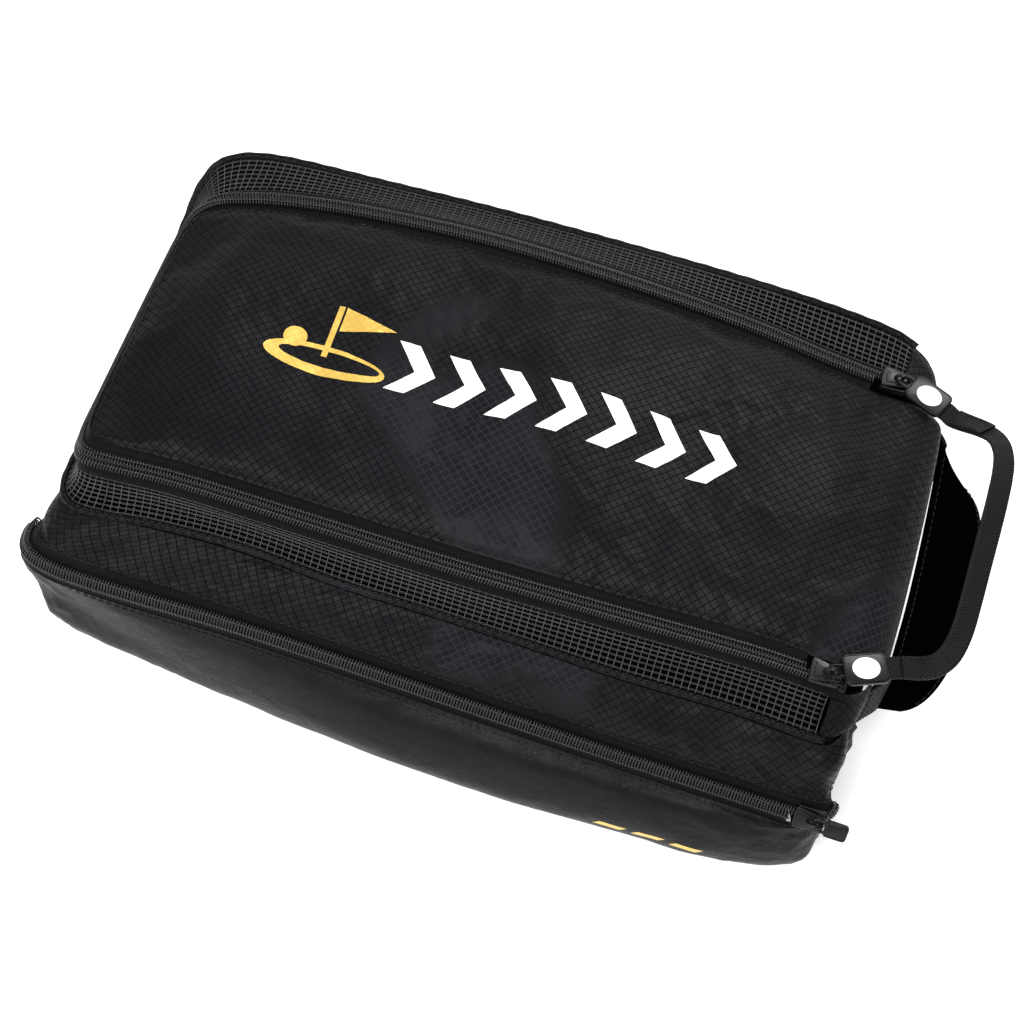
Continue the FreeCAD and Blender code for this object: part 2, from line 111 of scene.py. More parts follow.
def lattice(a, b, seed):
    """Smooth noise in -1..1 over two arrays of coordinates."""
    table = np.random.default_rng(seed).uniform(-1, 1, (64, 64))
    ia, ib = np.floor(a).astype(int), np.floor(b).astype(int)
    fa, fb = ease(a - ia), ease(b - ib)
    g = lambda i, j: table[i % 64, j % 64]
    top = g(ia, ib) * (1 - fa) + g(ia + 1, ib) * fa
    low = g(ia, ib + 1) * (1 - fa) + g(ia + 1, ib + 1) * fa
    return top * (1 - fb) + low * fb


def crumple(a, b, seed, octaves=3):
    """Folded noise: broad soft ridges with finer ones on them."""
    total, amp = 0, 1.0
    for k in range(octaves):
        s = 2.0**k
        bent = a * s + 0.7 * lattice(b * s, a * s, seed + 9)
        total = total + amp * (1 - 2 * np.abs(lattice(bent, b * s, seed + k)))
        amp *= 0.5
    return total * 0.5


# ---- meshes
def piece(name, verts, faces, material, uvs=None, body=None, slot=None, nodes=()):
    """One object from points in millimetres. uvs holds one (u, v) in metres for each corner of each face."""
    mesh = bpy.data.meshes.new(name)
    mesh.from_pydata((np.asarray(verts) * MM).tolist(), [], [list(map(int, f)) for f in faces])
    mesh.update()
    if uvs is not None:
        layer = mesh.uv_layers.new(name="cloth")
        layer.data.foreach_set("uv", np.asarray(uvs, np.float32).ravel())
    mesh.polygons.foreach_set("use_smooth", [True] * len(mesh.polygons))
    obj = bpy.data.objects.new(name, mesh)
    bpy.context.scene.collection.objects.link(obj)
    obj.data.materials.append(material)
    if body:
        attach(obj, body)
    if nodes:
        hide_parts(*nodes)
    return obj


def grid_faces(nu, nv, flip=False, wrap_v=False):
    i, j = np.meshgrid(np.arange(nu - 1), np.arange(nv if wrap_v else nv - 1), indexing="ij")
    i, j = i.ravel(), j.ravel()
    k = (j + 1) % nv
    f = np.stack([i * nv + j, i * nv + k, (i + 1) * nv + k, (i + 1) * nv + j], 1)
    return f[:, ::-1] if flip else f


def grid_uv(P):
    """Metres along and across a grid of points, (nu, nv, 3)."""
    nu, nv = P.shape[:2]
    du = np.linalg.norm(np.diff(P, axis=0), axis=2).mean(1)
    dv = np.linalg.norm(np.diff(P, axis=1), axis=2)
    u = np.r_[0, np.cumsum(du)]
    v = np.concatenate([np.zeros((nu, 1)), np.cumsum(dv, 1)], 1)
    v = v - v[:, -1:] / 2
    return np.stack([np.repeat(u[:, None], nv, 1), v], 2) * MM


def sheet(name, P, material, thick=0.7, body=None, slot=None, uv=None, nodes=()):
    """A cloth of real thickness over a grid of points (nu, nv, 3); its right side faces away from the bag."""
    nu, nv = P.shape[:2]
    n = grid_normals(P)
    flip = (n * (P - [0, 0, 55])).sum() > 0
    if not flip:
        n = -n
    uvg = grid_uv(P) if uv is None else uv
    index = np.arange(nu * nv).reshape(nu, nv)
    edge = np.r_[index[0], index[1:, -1], index[-1, -2::-1], index[-2:0:-1, 0]]
    after = np.roll(edge, -1)
    hem = np.stack([edge, after, after + nu * nv, edge + nu * nv], 1)
    outer, inner = grid_faces(nu, nv, flip), grid_faces(nu, nv, not flip) + nu * nv
    faces = np.vstack([outer, inner, hem[:, ::-1] if flip else hem])
    verts = np.vstack([P.reshape(-1, 3), (P - n * thick).reshape(-1, 3)])
    flat = np.vstack([uvg.reshape(-1, 2)] * 2)
    return piece(name, verts, faces, material, flat[faces.ravel()], body, slot, nodes)


def caps(rows, sides):
    """The two end faces of a run of rings."""
    return [list(range(sides))[::-1], [(rows - 1) * sides + k for k in range(sides)]]


def closed(rows, sides):
    """Every face of a run of rings with its ends closed."""
    return grid_faces(rows, sides, wrap_v=True).tolist() + caps(rows, sides)


def tube(points, radius, sides=8, up=Z, squash=1.0):
    """Points and faces of a closed tube along a path; radius may be one number or one for each point."""
    p = np.asarray(points, float)
    t = tangents(p)
    s = unit(np.cross(t, up))
    w = np.cross(s, t)
    r = np.broadcast_to(radius, len(p))[:, None, None]
    a = np.linspace(0, 2 * math.pi, sides, endpoint=False)
    ring = s[:, None] * np.cos(a)[None, :, None] * r + w[:, None] * np.sin(a)[None, :, None] * r * squash
    return (p[:, None] + ring).reshape(-1, 3), closed(len(p), sides)


def merged(parts):
    verts, faces, base = [], [], 0
    for v, f in parts:
        verts.append(v)
        faces += [[i + base for i in face] for face in f]
        base += len(v)
    return np.vstack(verts), faces


def copies(v, f, frames):
    """One small shape, placed at many frames of (point, x, y, z axes)."""
    v = np.asarray(v)
    P, A, B, C = frames
    world = P[:, None] + v[None, :, :1] * A[:, None] + v[
        None, :, 1:2
    ] * B[:, None] + v[None, :, 2:] * C[:, None]
    faces = []
    for k in sorted({len(x) for x in f}):
        base = np.array([x for x in f if len(x) == k])
        faces += (base[None] + (np.arange(len(P)) * len(v))[:, None, None]).reshape(-1, k).tolist()
    return world.reshape(-1, 3), faces


# ---- materials
class Nodes:
    """Short words for building a node tree."""

    def __init__(self, nt):
        self.nt = nt

    def node(self, kind, **kw):
        n = self.nt.nodes.new(kind)
        for k, v in kw.items():
            setattr(n, k, v)
        return n

    def put(self, socket, value):
        if hasattr(value, "is_output"):
            self.nt.links.new(value, socket)
        else:
            socket.default_value = value

    def math(self, op, a, b=0.0, clamp=False):
        n = self.node("ShaderNodeMath", operation=op, use_clamp=clamp)
        for s, v in zip(n.inputs, (a, b)):
            self.put(s, v)
        return n.outputs[0]

    def plus(self, a, b):
        return self.math("ADD", a, b)

    def minus(self, a, b):
        return self.math("SUBTRACT", a, b)

    def times(self, a, b, clamp=False):
        return self.math("MULTIPLY", a, b, clamp=clamp)

    def middle(self, value, pitch=1.0):
        """How far a value is from the middle of its cell, as a share of the cell."""
        return self.math("ABSOLUTE", self.minus(self.math("FRACT", self.math("DIVIDE", value, pitch)), 0.5))

    def step(self, value, lo, hi, a=0.0, b=1.0):
        n = self.node("ShaderNodeMapRange", interpolation_type="SMOOTHSTEP")
        for s, v in zip(n.inputs, (value, lo, hi, a, b)):
            self.put(s, v)
        return n.outputs[0]

    def mix(self, share, a, b):
        n = self.node("ShaderNodeMix", data_type="RGBA")
        self.put(n.inputs[0], share)
        self.put(n.inputs[6], a)
        self.put(n.inputs[7], b)
        return n.outputs[2]

    def noise(self, vector, scale, detail=2.0, rough=0.5):
        n = self.node("ShaderNodeTexNoise")
        self.nt.links.new(vector, n.inputs["Vector"])
        n.inputs["Scale"].default_value = scale
        n.inputs["Detail"].default_value = detail
        n.inputs["Roughness"].default_value = rough
        return n.outputs["Fac"]

    def bump(self, height, distance, strength=1.0, normal=None):
        n = self.node("ShaderNodeBump")
        n.inputs["Strength"].default_value = strength
        n.inputs["Distance"].default_value = distance
        self.nt.links.new(height, n.inputs["Height"])
        if normal is not None:
            self.nt.links.new(normal, n.inputs["Normal"])
        return n.outputs["Normal"]

    def bands(self, vector, scale, way):
        n = self.node("ShaderNodeTexWave", wave_type="BANDS", bands_direction=way)
        self.nt.links.new(vector, n.inputs["Vector"])
        n.inputs["Scale"].default_value = scale
        return n.outputs["Fac"]

    def cloth(self):
        n = self.node("ShaderNodeUVMap", uv_map="cloth")
        s = self.node("ShaderNodeSeparateXYZ")
        self.nt.links.new(n.outputs[0], s.inputs[0])
        return n.outputs[0], s.outputs[0], s.outputs[1]

    def object_space(self):
        return self.node("ShaderNodeTexCoord").outputs["Object"]


def new_material(name, base, rough, **inputs):
    """A material, its shader and the words that build its tree."""
    m = bpy.data.materials.new(name)
    m.use_nodes = True
    b = m.node_tree.nodes["Principled BSDF"]
    b.inputs["Base Color"].default_value = (*base, 1)
    b.inputs["Roughness"].default_value = rough
    for k, v in inputs.items():
        b.inputs[k.replace("_", " ")].default_value = v
    return m, b, Nodes(m.node_tree)


def tone(base, gain=1.0, lift=0.0):
    """A colour made lighter or darker."""
    return (*[min(1, c * gain + lift) for c in base], 1)


GRID = 3.15 * MM * math.sqrt(2)  # the ripstop's cell, along its diagonal


def ripstop_material(name):
    """Thin nylon with a diamond grid: satin ground, and thicker black yarns, painted pale in places as a
    painted highlight where the yarns catch the light.
    """
    base, gloss = (0.0072, 0.0074, 0.0086), 0.42
    m, b, n = new_material(name, base, gloss, Specular_IOR_Level=0.05)
    uv, u, v = n.cloth()
    wob = n.times(n.minus(n.noise(uv, 45, 1), 0.5), 0.0016)
    lines = [n.middle(n.plus(n.math(op, u, v), wob), GRID) for op in ("ADD", "SUBTRACT")]
    mask = n.step(n.math("MAXIMUM", *lines), 0.434, 0.458)
    puff = n.times(n.step(lines[0], 0.5, 0.1), n.step(lines[1], 0.5, 0.1))
    blotch = n.step(n.noise(uv, 22, 3), 0.3, 0.7)
    ground = n.mix(blotch, tone(base, 0.82), tone(base, 1.22))
    # Painted highlight: in random patches the black yarns are painted pale grey, standing in for where they
    # catch the light.
    pale = n.step(n.noise(uv, 7, 2), 0.58, 0.64)
    yarn = n.mix(pale, (0.0006, 0.0006, 0.0007, 1), (0.020, 0.021, 0.024, 1))
    n.put(b.inputs["Base Color"], n.mix(mask, ground, yarn))
    rough = n.plus(n.times(blotch, 0.07), gloss - 0.03)
    n.put(b.inputs["Roughness"], n.plus(rough, n.times(mask, 0.34)))
    fine = n.times(n.bands(uv, 900, "X"), n.bands(uv, 900, "Y"))
    h = n.plus(n.plus(n.times(mask, 0.30), n.times(puff, 0.16)), n.times(fine, 0.05))
    first = n.bump(n.noise(uv, 60, 3, 0.55), 0.0005, 0.4)
    n.put(b.inputs["Normal"], n.bump(h, 0.00022, 0.9, first))
    return m


def weave_material(name, base, pitch_u, pitch_v, rough=0.62, depth=0.00022, chevron=False, spec=0.4):
    """Twill tape or ribbed webbing: ribs across its length, with a chevron or a plain rib."""
    m, b, n = new_material(name, base, rough, Specular_IOR_Level=spec)
    uv, u, v = n.cloth()
    if chevron:
        shift = n.times(n.middle(v, pitch_v), 2.2)
    else:
        shift = n.times(n.math("ROUND", n.math("DIVIDE", v, pitch_v)), 0.5)
    rib = n.middle(n.plus(n.math("DIVIDE", u, pitch_u), shift))
    lift = n.times(n.step(rib, 0.0, 0.42, 1, 0), n.step(n.middle(v, pitch_v), 0.5, 0.3, 0.55, 1))
    fuzz = n.noise(uv, 1500, 2)
    # Painted highlight and painted shade: rib tops painted up to twice as light and grooves painted darker,
    # unevenly at random.
    painted_rib_light = n.times(lift, n.plus(n.times(n.noise(uv, 30, 2), 0.9), 0.4), clamp=True)
    n.put(b.inputs["Base Color"], n.mix(painted_rib_light, tone(base, 0.35), tone(base, 2.0)))
    n.put(b.inputs["Roughness"], n.plus(n.times(fuzz, 0.2), rough - 0.1))
    n.put(b.inputs["Normal"], n.bump(n.plus(lift, n.times(fuzz, 0.25)), depth))
    return m


def leather_material(name):
    """Soft faux leather: satin with a broad sheen, cell-like grain and faint creases."""
    m, b, n = new_material(name, (0.0075, 0.0072, 0.0072), 0.4, Specular_IOR_Level=0.09)
    at = n.object_space()
    cells = n.node("ShaderNodeTexVoronoi", feature="DISTANCE_TO_EDGE")
    n.put(cells.inputs["Vector"], at)
    cells.inputs["Scale"].default_value = 1050
    cells.inputs["Randomness"].default_value = 0.95
    grain = n.step(cells.outputs["Distance"], 0.0, 0.16)
    big = n.noise(at, 38, 4, 0.6)
    crease = n.step(n.math("ABSOLUTE", n.minus(n.noise(at, 60, 4, 0.6), 0.5)), 0.0, 0.035)
    n.put(b.inputs["Base Color"], n.mix(big, (0.003, 0.0029, 0.0029, 1), (0.0075, 0.0072, 0.0072, 1)))
    rough = n.plus(n.times(n.noise(at, 95, 3), 0.16), 0.30)
    n.put(b.inputs["Roughness"], n.plus(rough, n.times(n.minus(1.0, grain), 0.14)))
    soft = n.bump(crease, 0.00025, 0.35, n.bump(big, 0.0022, 0.35))
    n.put(b.inputs["Normal"], n.bump(grain, 0.00006, 0.55, soft))
    return m


def hard_material(name, base, rough, metallic=0.0, coat=0.0, dust=0.06, bump=0.00002, spec=0.5):
    """Moulded or painted parts: fine unevenness and a little dust in brighter patches."""
    m, b, n = new_material(name, base, rough, Metallic=metallic, Coat_Weight=coat, Specular_IOR_Level=spec)
    b.inputs["Coat Roughness"].default_value = 0.12
    at = n.object_space()
    wear = n.times(n.step(n.noise(at, 260, 4, 0.65), 0.55, 0.75), dust * 4, clamp=True)
    n.put(b.inputs["Base Color"], n.mix(wear, (*base, 1), tone(base, 1.25, 0.015)))
    n.put(b.inputs["Roughness"], n.plus(n.times(n.noise(at, 700, 3), 0.12 + dust), rough - 0.05))
    n.put(b.inputs["Normal"], n.bump(n.noise(at, 1400, 2), bump, 0.6))
    return m


def print_material(name, base, rough, metallic):
    """Screen print: it follows the cloth's grid underneath and breaks up slightly."""
    m, b, n = new_material(name, base, rough, Metallic=metallic)
    uv, u, v = n.cloth()
    mask = n.step(
        n.math("MAXIMUM", *[n.middle(n.math(op, u, v), GRID) for op in ("ADD", "SUBTRACT")]), 0.44, 0.47
    )
    speck = n.noise(uv, 900, 3)
    n.put(b.inputs["Base Color"], n.mix(n.times(mask, 0.35), (*base, 1), tone(base, 0.62)))
    n.put(b.inputs["Roughness"], n.plus(n.times(speck, 0.2), rough - 0.1))
    n.put(b.inputs["Normal"], n.bump(n.plus(mask, n.times(speck, 0.4)), 0.00012, 0.6))
    return m


RIPSTOP = ripstop_material("ripstop_nylon")
LINING = weave_material("lining_cloth", (0.006, 0.006, 0.0065), 0.0006, 0.0006)
TAPE = weave_material("zip_tape_twill", (0.0052, 0.0052, 0.0054), 0.0011, 0.0030, chevron=True, spec=0.05)
WEB = weave_material(
    "ribbed_webbing", (0.0060, 0.0060, 0.0068), 0.0016, 0.0012, rough=0.55, depth=0.0003, spec=0.12
)
TAB = weave_material(
    "tab_webbing", (0.0022, 0.0022, 0.0026), 0.0024, 0.0020, rough=0.6, depth=0.0004, spec=0.08
)
# Painted shade: the carry handle's webbing is made near black with no specular reflection, standing in for
# the deep shadow it lies in.
HANDLE_WEB_PAINTED_SHADE = weave_material(
    "smooth_webbing_painted_shade", (0.0008, 0.0008, 0.0009), 0.0009, 0.0016, rough=0.8, depth=0.0001, spec=0.0
)
LEATHER = leather_material("faux_leather")
NET = hard_material("net_yarn", (0.020, 0.020, 0.021), 0.4, dust=0.1, bump=0.00005)
COIL = hard_material("nylon_coil", (0.008, 0.008, 0.0085), 0.3, dust=0.03, spec=0.32)
THREAD = hard_material("sewing_thread", (0.007, 0.007, 0.0075), 0.55, dust=0.05, spec=0.2)
SLIDER = hard_material("black_painted_metal", (0.004, 0.004, 0.0045), 0.36, coat=0.08, dust=0.02, spec=0.2)
PULL = hard_material("gloss_black_pull", (0.003, 0.003, 0.0035), 0.34, coat=0.05, dust=0.01, spec=0.16)
BADGE = hard_material("white_enamel", (0.82, 0.82, 0.81), 0.25, coat=0.5, dust=0.01)
WHITE = print_material("white_print", (0.86, 0.86, 0.87), 0.5, 0.0)
GOLD = print_material("gold_print", (0.62, 0.40, 0.075), 0.42, 0.35)
FOIL = hard_material("gold_foil", (0.75, 0.50, 0.12), 0.22, metallic=1.0, dust=0.03)


# ---- where the seams run, in millimetres
Line = namedtuple("Line", "P T A N L")  # points, tangents, the way across, face normals, lengths
# Main zip's centre line from the handle end, near side, toe end, far side, with the way its face looks.
MAIN = [
    (166, -83.5, 112.0, 0.05, -0.10, 0.99), (149, -83, 113.0, 0, -0.12, 0.99),
    (120, -82.2, 113.4, 0, -0.2, 0.98), (60, -83.3, 113.6, 0, -0.22, 0.97), (0, -84, 113.8, 0, -0.25, 0.97),
    (-60, -83, 113.4, 0, -0.25, 0.97), (-120, -81.8, 113, 0, -0.25, 0.97),
    (-150, -82.9, 112.4, -0.1, -0.3, 0.95), (-163, -82.2, 110.9, -0.4, -0.42, 0.82),
    (-168.4, -77.5, 107.5, -0.78, -0.35, 0.5), (-170.6, -67, 103.6, -0.97, -0.1, 0.2),
    (-170.6, -44, 101.2, -1, 0, 0.1), (-170.0, -10, 100.2, -1, 0, 0.1), (-169.2, 24, 99.3, -1, 0.02, 0.1),
    (-168.4, 46, 99.2, -0.98, 0.1, 0.2), (-166.2, 60, 100.6, -0.75, 0.28, 0.55),
    (-159, 69, 103.2, -0.3, 0.2, 0.93), (-143, 74.0, 106.2, -0.06, 0.1, 0.99),
    (-122, 77.4, 109.0, 0, 0.05, 1), (-90, 80.5, 111.6, 0, 0.02, 1), (-34, 83.6, 113.5, 0, 0.02, 1),
    (30, 83, 113.1, 0, 0.02, 1), (85, 80.6, 110.9, 0, 0.04, 1), (120, 77.6, 108.2, 0, 0.06, 1),
    (147, 76, 106.1, 0, 0.02, 1), (166, 75.5, 105.4, 0.05, 0.1, 0.99)
]
# The piped seam below the net, the same way round.
SEAM = [
    (171.5, -99, 95.5), (160, -102.5, 96), (122, -100.5, 96), (74, -100.5, 96), (31, -99, 96.2),
    (-9, -98, 96.2), (-48, -97.6, 96.2), (-92, -94.5, 96), (-130, -95.5, 95.2), (-153, -97.5, 93.5),
    (-168, -95, 91), (-174.5, -82, 88), (-174.2, -50, 85.5), (-173.2, -5, 84.4), (-172.6, 38, 86),
    (-172.4, 64, 89.5), (-171.4, 82.5, 95), (-164, 95.5, 100.3), (-142, 101.6, 104.2), (-90, 103.8, 106),
    (-34, 106.5, 106.4), (30, 108, 106.4), (85, 108.5, 106), (130, 107.2, 105), (157, 104.2, 102.5),
    (173, 94, 98.5)
]
# The pocket zip's centre line from its toe end to its handle end.
POCKET = [
    (-178, -84, 65.5), (-182.2, -93, 66.3), (-184.3, -101.5, 67.5), (-181, -110.3, 69), (-168, -115.8, 70.6),
    (-140, -117.7, 71.6), (-88, -117.4, 71.4), (-40, -118, 69.6), (0, -118.8, 67.8), (40, -119.3, 65.8),
    (90, -119.6, 63.2), (130, -119.6, 61.4), (160, -119.4, 59.9), (172.5, -118.6, 58.8),
    (177.3, -114.5, 57.8), (178.3, -106, 56.8), (177, -84, 56)
]
N_MAIN = 760
main = smooth(MAIN, N_MAIN)
M_P = main[:, :3]
M_T = tangents(M_P)
M_N = unit(main[:, 3:] - (main[:, 3:] * M_T).sum(1, keepdims=True) * M_T)
M_A = np.cross(M_N, M_T)
if (M_A[60] @ Y) < 0:
    M_A = -M_A  # towards the flap
MAIN_ZIP = Line(M_P, M_T, M_A, M_N, lengths(M_P))
TILT = math.radians(30)
K_P = smooth(POCKET, 420)
K_T = tangents(K_P)
K_N = unit(unit(np.cross(K_T, Z)) * math.cos(TILT) + Z * math.sin(TILT))
K_A = np.cross(K_N, K_T)  # up the bag
POCKET_ZIP = Line(K_P, K_T, K_A, K_N, lengths(K_P))


def at_x(line, x, rising):
    """The index where a line first passes x."""
    hit = line[:, 0] >= x if rising else line[:, 0] <= x
    return int(np.argmax(hit))


# The flap's hinge, and the rows of the main line between which the flap has its own tape and coil.
HINGE_X = 147
FLAP_FROM = at_x(M_P, HINGE_X, False)
FLAP_TO = N_MAIN - 1 - int(np.argmax(M_P[::-1, 0] <= HINGE_X))


# ---- flap cloth
NU, NV = 116, 54
EDGE = 7.4


def flap_edge(lo, hi):
    """The flap's edge beside the main zip, over a stretch of the zip's line."""
    k = np.arange(lo, hi)
    return M_P[k] + M_A[k] * EDGE - M_N[k] * 0.3


toe_a = int(np.argmax((M_P[:, 0] < -160) & (M_P[:, 1] > -78)))
toe_b = int(np.argmax((M_P[:, 0] < -155) & (M_P[:, 1] > 56)))
near_edge = flap_edge(0, toe_a + 1)
far_edge = flap_edge(toe_b, N_MAIN)[::-1]
# The end beyond the hinge: it rolls over the handle end and down to the seam.
near_nose = np.array([(172, -75.5, 108.5), (178.5, -73, 104.5), (181, -71, 101), (175.5, -72, 97.0)])
far_nose = np.array([(172, 67.5, 105.0), (179.5, 64.5, 102.5), (181, 62, 100), (175.5, 63, 97.0)])
near_side = resample(np.vstack([near_nose[::-1], near_edge[near_edge[:, 0] < 168]]), NU)
far_side = resample(np.vstack([far_nose[::-1], far_edge[far_edge[:, 0] < 168]]), NU)
toe_side = resample(flap_edge(toe_a, toe_b + 1), NV)
v = np.linspace(0, 1, NV)
nose = near_side[0] * (1 - v)[:, None] + far_side[0] * v[:, None]
u = np.linspace(0, 1, NU)
uu, vv = np.meshgrid(u, v, indexing="ij")
U3, V3 = uu[..., None], vv[..., None]
corners = (1 - U3) * (1 - V3) * near_side[0] + (1 - U3) * V3 * far_side[0]
corners = corners + U3 * (1 - V3) * near_side[-1] + U3 * V3 * far_side[-1]
flap = (1 - V3) * near_side[:, None] + V3 * far_side[
    :, None
] + (1 - U3) * nose[None] + U3 * toe_side[None] - corners
x_of = flap[..., 0]
across = (4 * vv * (1 - vv)) ** 0.62
rise = across * (5.0 * ease((x_of + 174) / 15) + 10.5 * ease((x_of + 172) / 42) ** 0.8)
roll = ease((x_of - 128) / 62)
flap[..., 2] += rise * (1 - 0.55 * roll)
# The nose bulges out between its ends, then tucks under.
tuck = ease(1 - uu * NU / 20)
flap[..., 0] += 2.5 * across * tuck * ease(uu * NU / 4)
flap[..., 2] -= 2.6 * across * ease(1 - uu * NU / 7) * 2
# Soft hollows and folds, strongest beside the zips.
f_uv = grid_uv(flap)
side_d = np.minimum(vv, 1 - vv) * 165
near_zip = np.exp(-side_d / 13.0)
pinned = np.minimum(1, side_d / 5.0) * np.minimum(1, (1 - uu) * 350 / 6) * np.minimum(1, uu * NU / 6)


def settle(name, P, pin, oversize, pressure, frames=22, seed=1):
    """Cloth simulation of one pinned panel, slightly larger than its frame; returns the settled points."""
    nu, nv = P.shape[:2]
    obj = piece(name, P.reshape(-1, 3), grid_faces(nu, nv, True), RIPSTOP)
    jitter = np.random.default_rng(seed).normal(0, 0.12, (nu * nv, 1)) * (1 - pin.reshape(-1, 1))
    obj.data.vertices.foreach_set("co", ((P.reshape(-1, 3) + jitter * Z) * MM).astype(np.float32).ravel())
    group = obj.vertex_groups.new(name="pin")
    for k, w in enumerate(pin.ravel()):
        if w > 0.001:
            group.add([k], float(w), "REPLACE")
    mod = obj.modifiers.new("cloth", "CLOTH")
    s = mod.settings
    s.quality = 6
    s.mass = 0.15
    s.tension_stiffness = s.compression_stiffness = s.shear_stiffness = 18
    s.bending_stiffness = 0.6
    s.vertex_group_mass = "pin"
    s.shrink_min = -oversize
    s.shrink_max = -oversize
    s.use_pressure = True
    s.uniform_pressure_force = pressure
    s.effector_weights.gravity = 0
    mod.collision_settings.use_collision = False
    mod.point_cache.frame_start = 1
    mod.point_cache.frame_end = frames
    scene = bpy.context.scene
    for f in range(1, frames + 1):
        scene.frame_set(f)
    held = obj.evaluated_get(bpy.context.evaluated_depsgraph_get())
    co = np.zeros(nu * nv * 3, np.float32)
    held.data.vertices.foreach_get("co", co)
    out = co.reshape(nu, nv, 3) / MM
    scene.frame_set(1)
    bpy.data.objects.remove(obj)
    return out


def capped(before, after, limit):
    """Keep each point within a distance of where it started."""
    d = after - before
    n = np.linalg.norm(d, axis=2, keepdims=True)
    return before + d * np.minimum(1, limit / np.maximum(n, 1e-6))


s_u = f_uv[..., 0] / MM
s_v = f_uv[..., 1] / MM
hollow = 2.3 * lattice(s_u / 58, s_v / 44, 3) + 1.1 * crumple(s_u / 52 + s_v / 60, s_v / 48, 11, 1)
pucker = 1.0 * lattice(s_u / 5.2, s_v / 40, 21) * near_zip
flap[..., 2] += (hollow * 0.9 + pucker) * pinned
hold = 1 - np.minimum(1, side_d / 3.0) * np.minimum(1, (1 - uu) * 350 / 4) * np.minimum(1, uu * NU / 16)
flap = capped(
    flap, settle("flap_cloth_sim", flap, np.clip(hold, 0, 1), oversize=0.005, pressure=0.3), 5.0
)


def refine(P):
    """A finer grid through the same points."""
    for axis in (0, 1):
        Q = np.moveaxis(P, axis, 0)
        ext = np.concatenate([2 * Q[:1] - Q[1:2], Q, 2 * Q[-1:] - Q[-2:-1]])
        R = np.empty((2 * len(Q) - 1, *Q.shape[1:]))
        R[::2] = Q
        R[1::2] = (-ext[:-3] + 9 * ext[1:-2] + 9 * ext[2:-1] - ext[3:]) / 16
        P = np.moveaxis(R, 0, axis)
    return P


flap = refine(flap)
flap_cloth = sheet("flap_cloth", flap, RIPSTOP, 0.6, slot="ripstop", nodes=["flap_panel", "handle_cover"])
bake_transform(flap_cloth)


# ---- zips
def tape(name, zip_line, rows, offs, body, nodes):
    """One half's tape: a strip beside its line, at (across, lift) offsets."""
    P, _, A, N, L = (q[rows] for q in zip_line)
    w = lengths(np.array([(a, l, 0) for a, l in offs]))
    uv = np.stack(np.meshgrid(L * MM, (w - w.mean()) * MM, indexing="ij"), 2)
    sheet(name, np.stack([P + A * a + N * l for a, l in offs], 1), TAPE, 0.6, body, "tape", uv, nodes)


FLAP_OFFS = [(9.2, -0.2), (7.6, 0.2), (5, 0.3), (2.5, 0.25), (0.5, 0.2)]
BAG_OFFS = [(-0.5, 0.2), (-2.5, 0.25), (-4.5, 0.1), (-6.2, -0.5), (-7.6, -1.4)]
tape("main_zip_tape_flap", MAIN_ZIP, slice(FLAP_FROM, FLAP_TO), FLAP_OFFS, "flap", ["main_tape_flap"])
tape("main_zip_tape_bag", MAIN_ZIP, slice(0, N_MAIN), BAG_OFFS, "bag", ["main_tape_bag"])


def tooth():
    """One turn of a coil, seen from outside: a rounded bar with a nose that hooks past the centre line."""
    path = np.array([
        (0.25, -0.55, 0.3), (0.2, -0.5, 1.2), (-0.1, 0.25, 1.85), (-0.15, 1.6, 2.0), (0.12, 2.8, 1.8),
        (0.3, 3.5, 1.1), (0.32, 3.6, 0.25)
    ])
    p = smooth(path, 9)
    return tube(p, np.array([0.36, 0.46, 0.5, 0.5, 0.48, 0.47, 0.45, 0.42, 0.36]), 6, up=X)


TOOTH = tooth()
PITCH = 1.32


def coil_row(name, zip_line, lo, hi, side, body, node, phase=0.0):
    """The teeth of one half of a chain, evenly spaced along its line, with the cord sewn through them."""
    P, _, A, N, L = zip_line
    at = np.arange(lo + phase, hi, PITCH)
    p = read_at(P, L, at)
    t, a, n = (unit(read_at(q, L, at)) for q in (zip_line.T, A, N))
    wob = rng.normal(0, 0.05, (len(at), 1))
    v, f = copies(*TOOTH, (p + t * wob, t, a * side, n))
    if side < 0:
        f = [x[::-1] for x in f]
    rows = (L >= lo) & (L <= hi)
    cord = tube(P[rows] + A[rows] * side * 2.1 + N[rows] * 2.3, 0.26, 5)
    v, f = merged([(v, f), cord])
    piece(name, v, f, COIL, body=body, slot="coil", nodes=[node])


M_L = MAIN_ZIP.L
coil_row("main_zip_teeth_flap", MAIN_ZIP, M_L[FLAP_FROM], M_L[FLAP_TO], 1, "flap", "main_coil_flap")
coil_row("main_zip_teeth_bag", MAIN_ZIP, 1, M_L[-1] - 1, -1, "bag", "main_coil_bag", 0.66)


def stitches(name, path, normal, body, step=3.4, length=2.3):
    """A sewn line: short raised stitches along a path, each dipping at its ends."""
    L = lengths(path)
    at = np.arange(step, L[-1] - step, step)
    reach = ((-1 / 2, -0.3), (-1 / 3, 0.12), (0, 0.2), (1 / 3, 0.12), (1 / 2, -0.3))
    one = smooth([(length * x, 0, z) for x, z in reach], 6)
    v, f = tube(one, 0.26, 5, up=Y)
    p, n = read_at(path, L, at), unit(read_at(normal, L, at))
    t = unit(read_at(tangents(path), L, at))
    verts, faces = copies(v, f, (p + n * 0.12, t, np.cross(n, t), n))
    piece(name, verts, faces, THREAD, body=body)


def grid_line(P, axis, index, lo=0):
    """A line of a cloth grid and the cloth's normal along it."""
    n = grid_normals(P)
    if n[..., 2].mean() < 0:
        n = -n
    line, normal = (P[:, index], n[:, index]) if axis == 0 else (P[index], n[index])
    return line[lo:], normal[lo:]


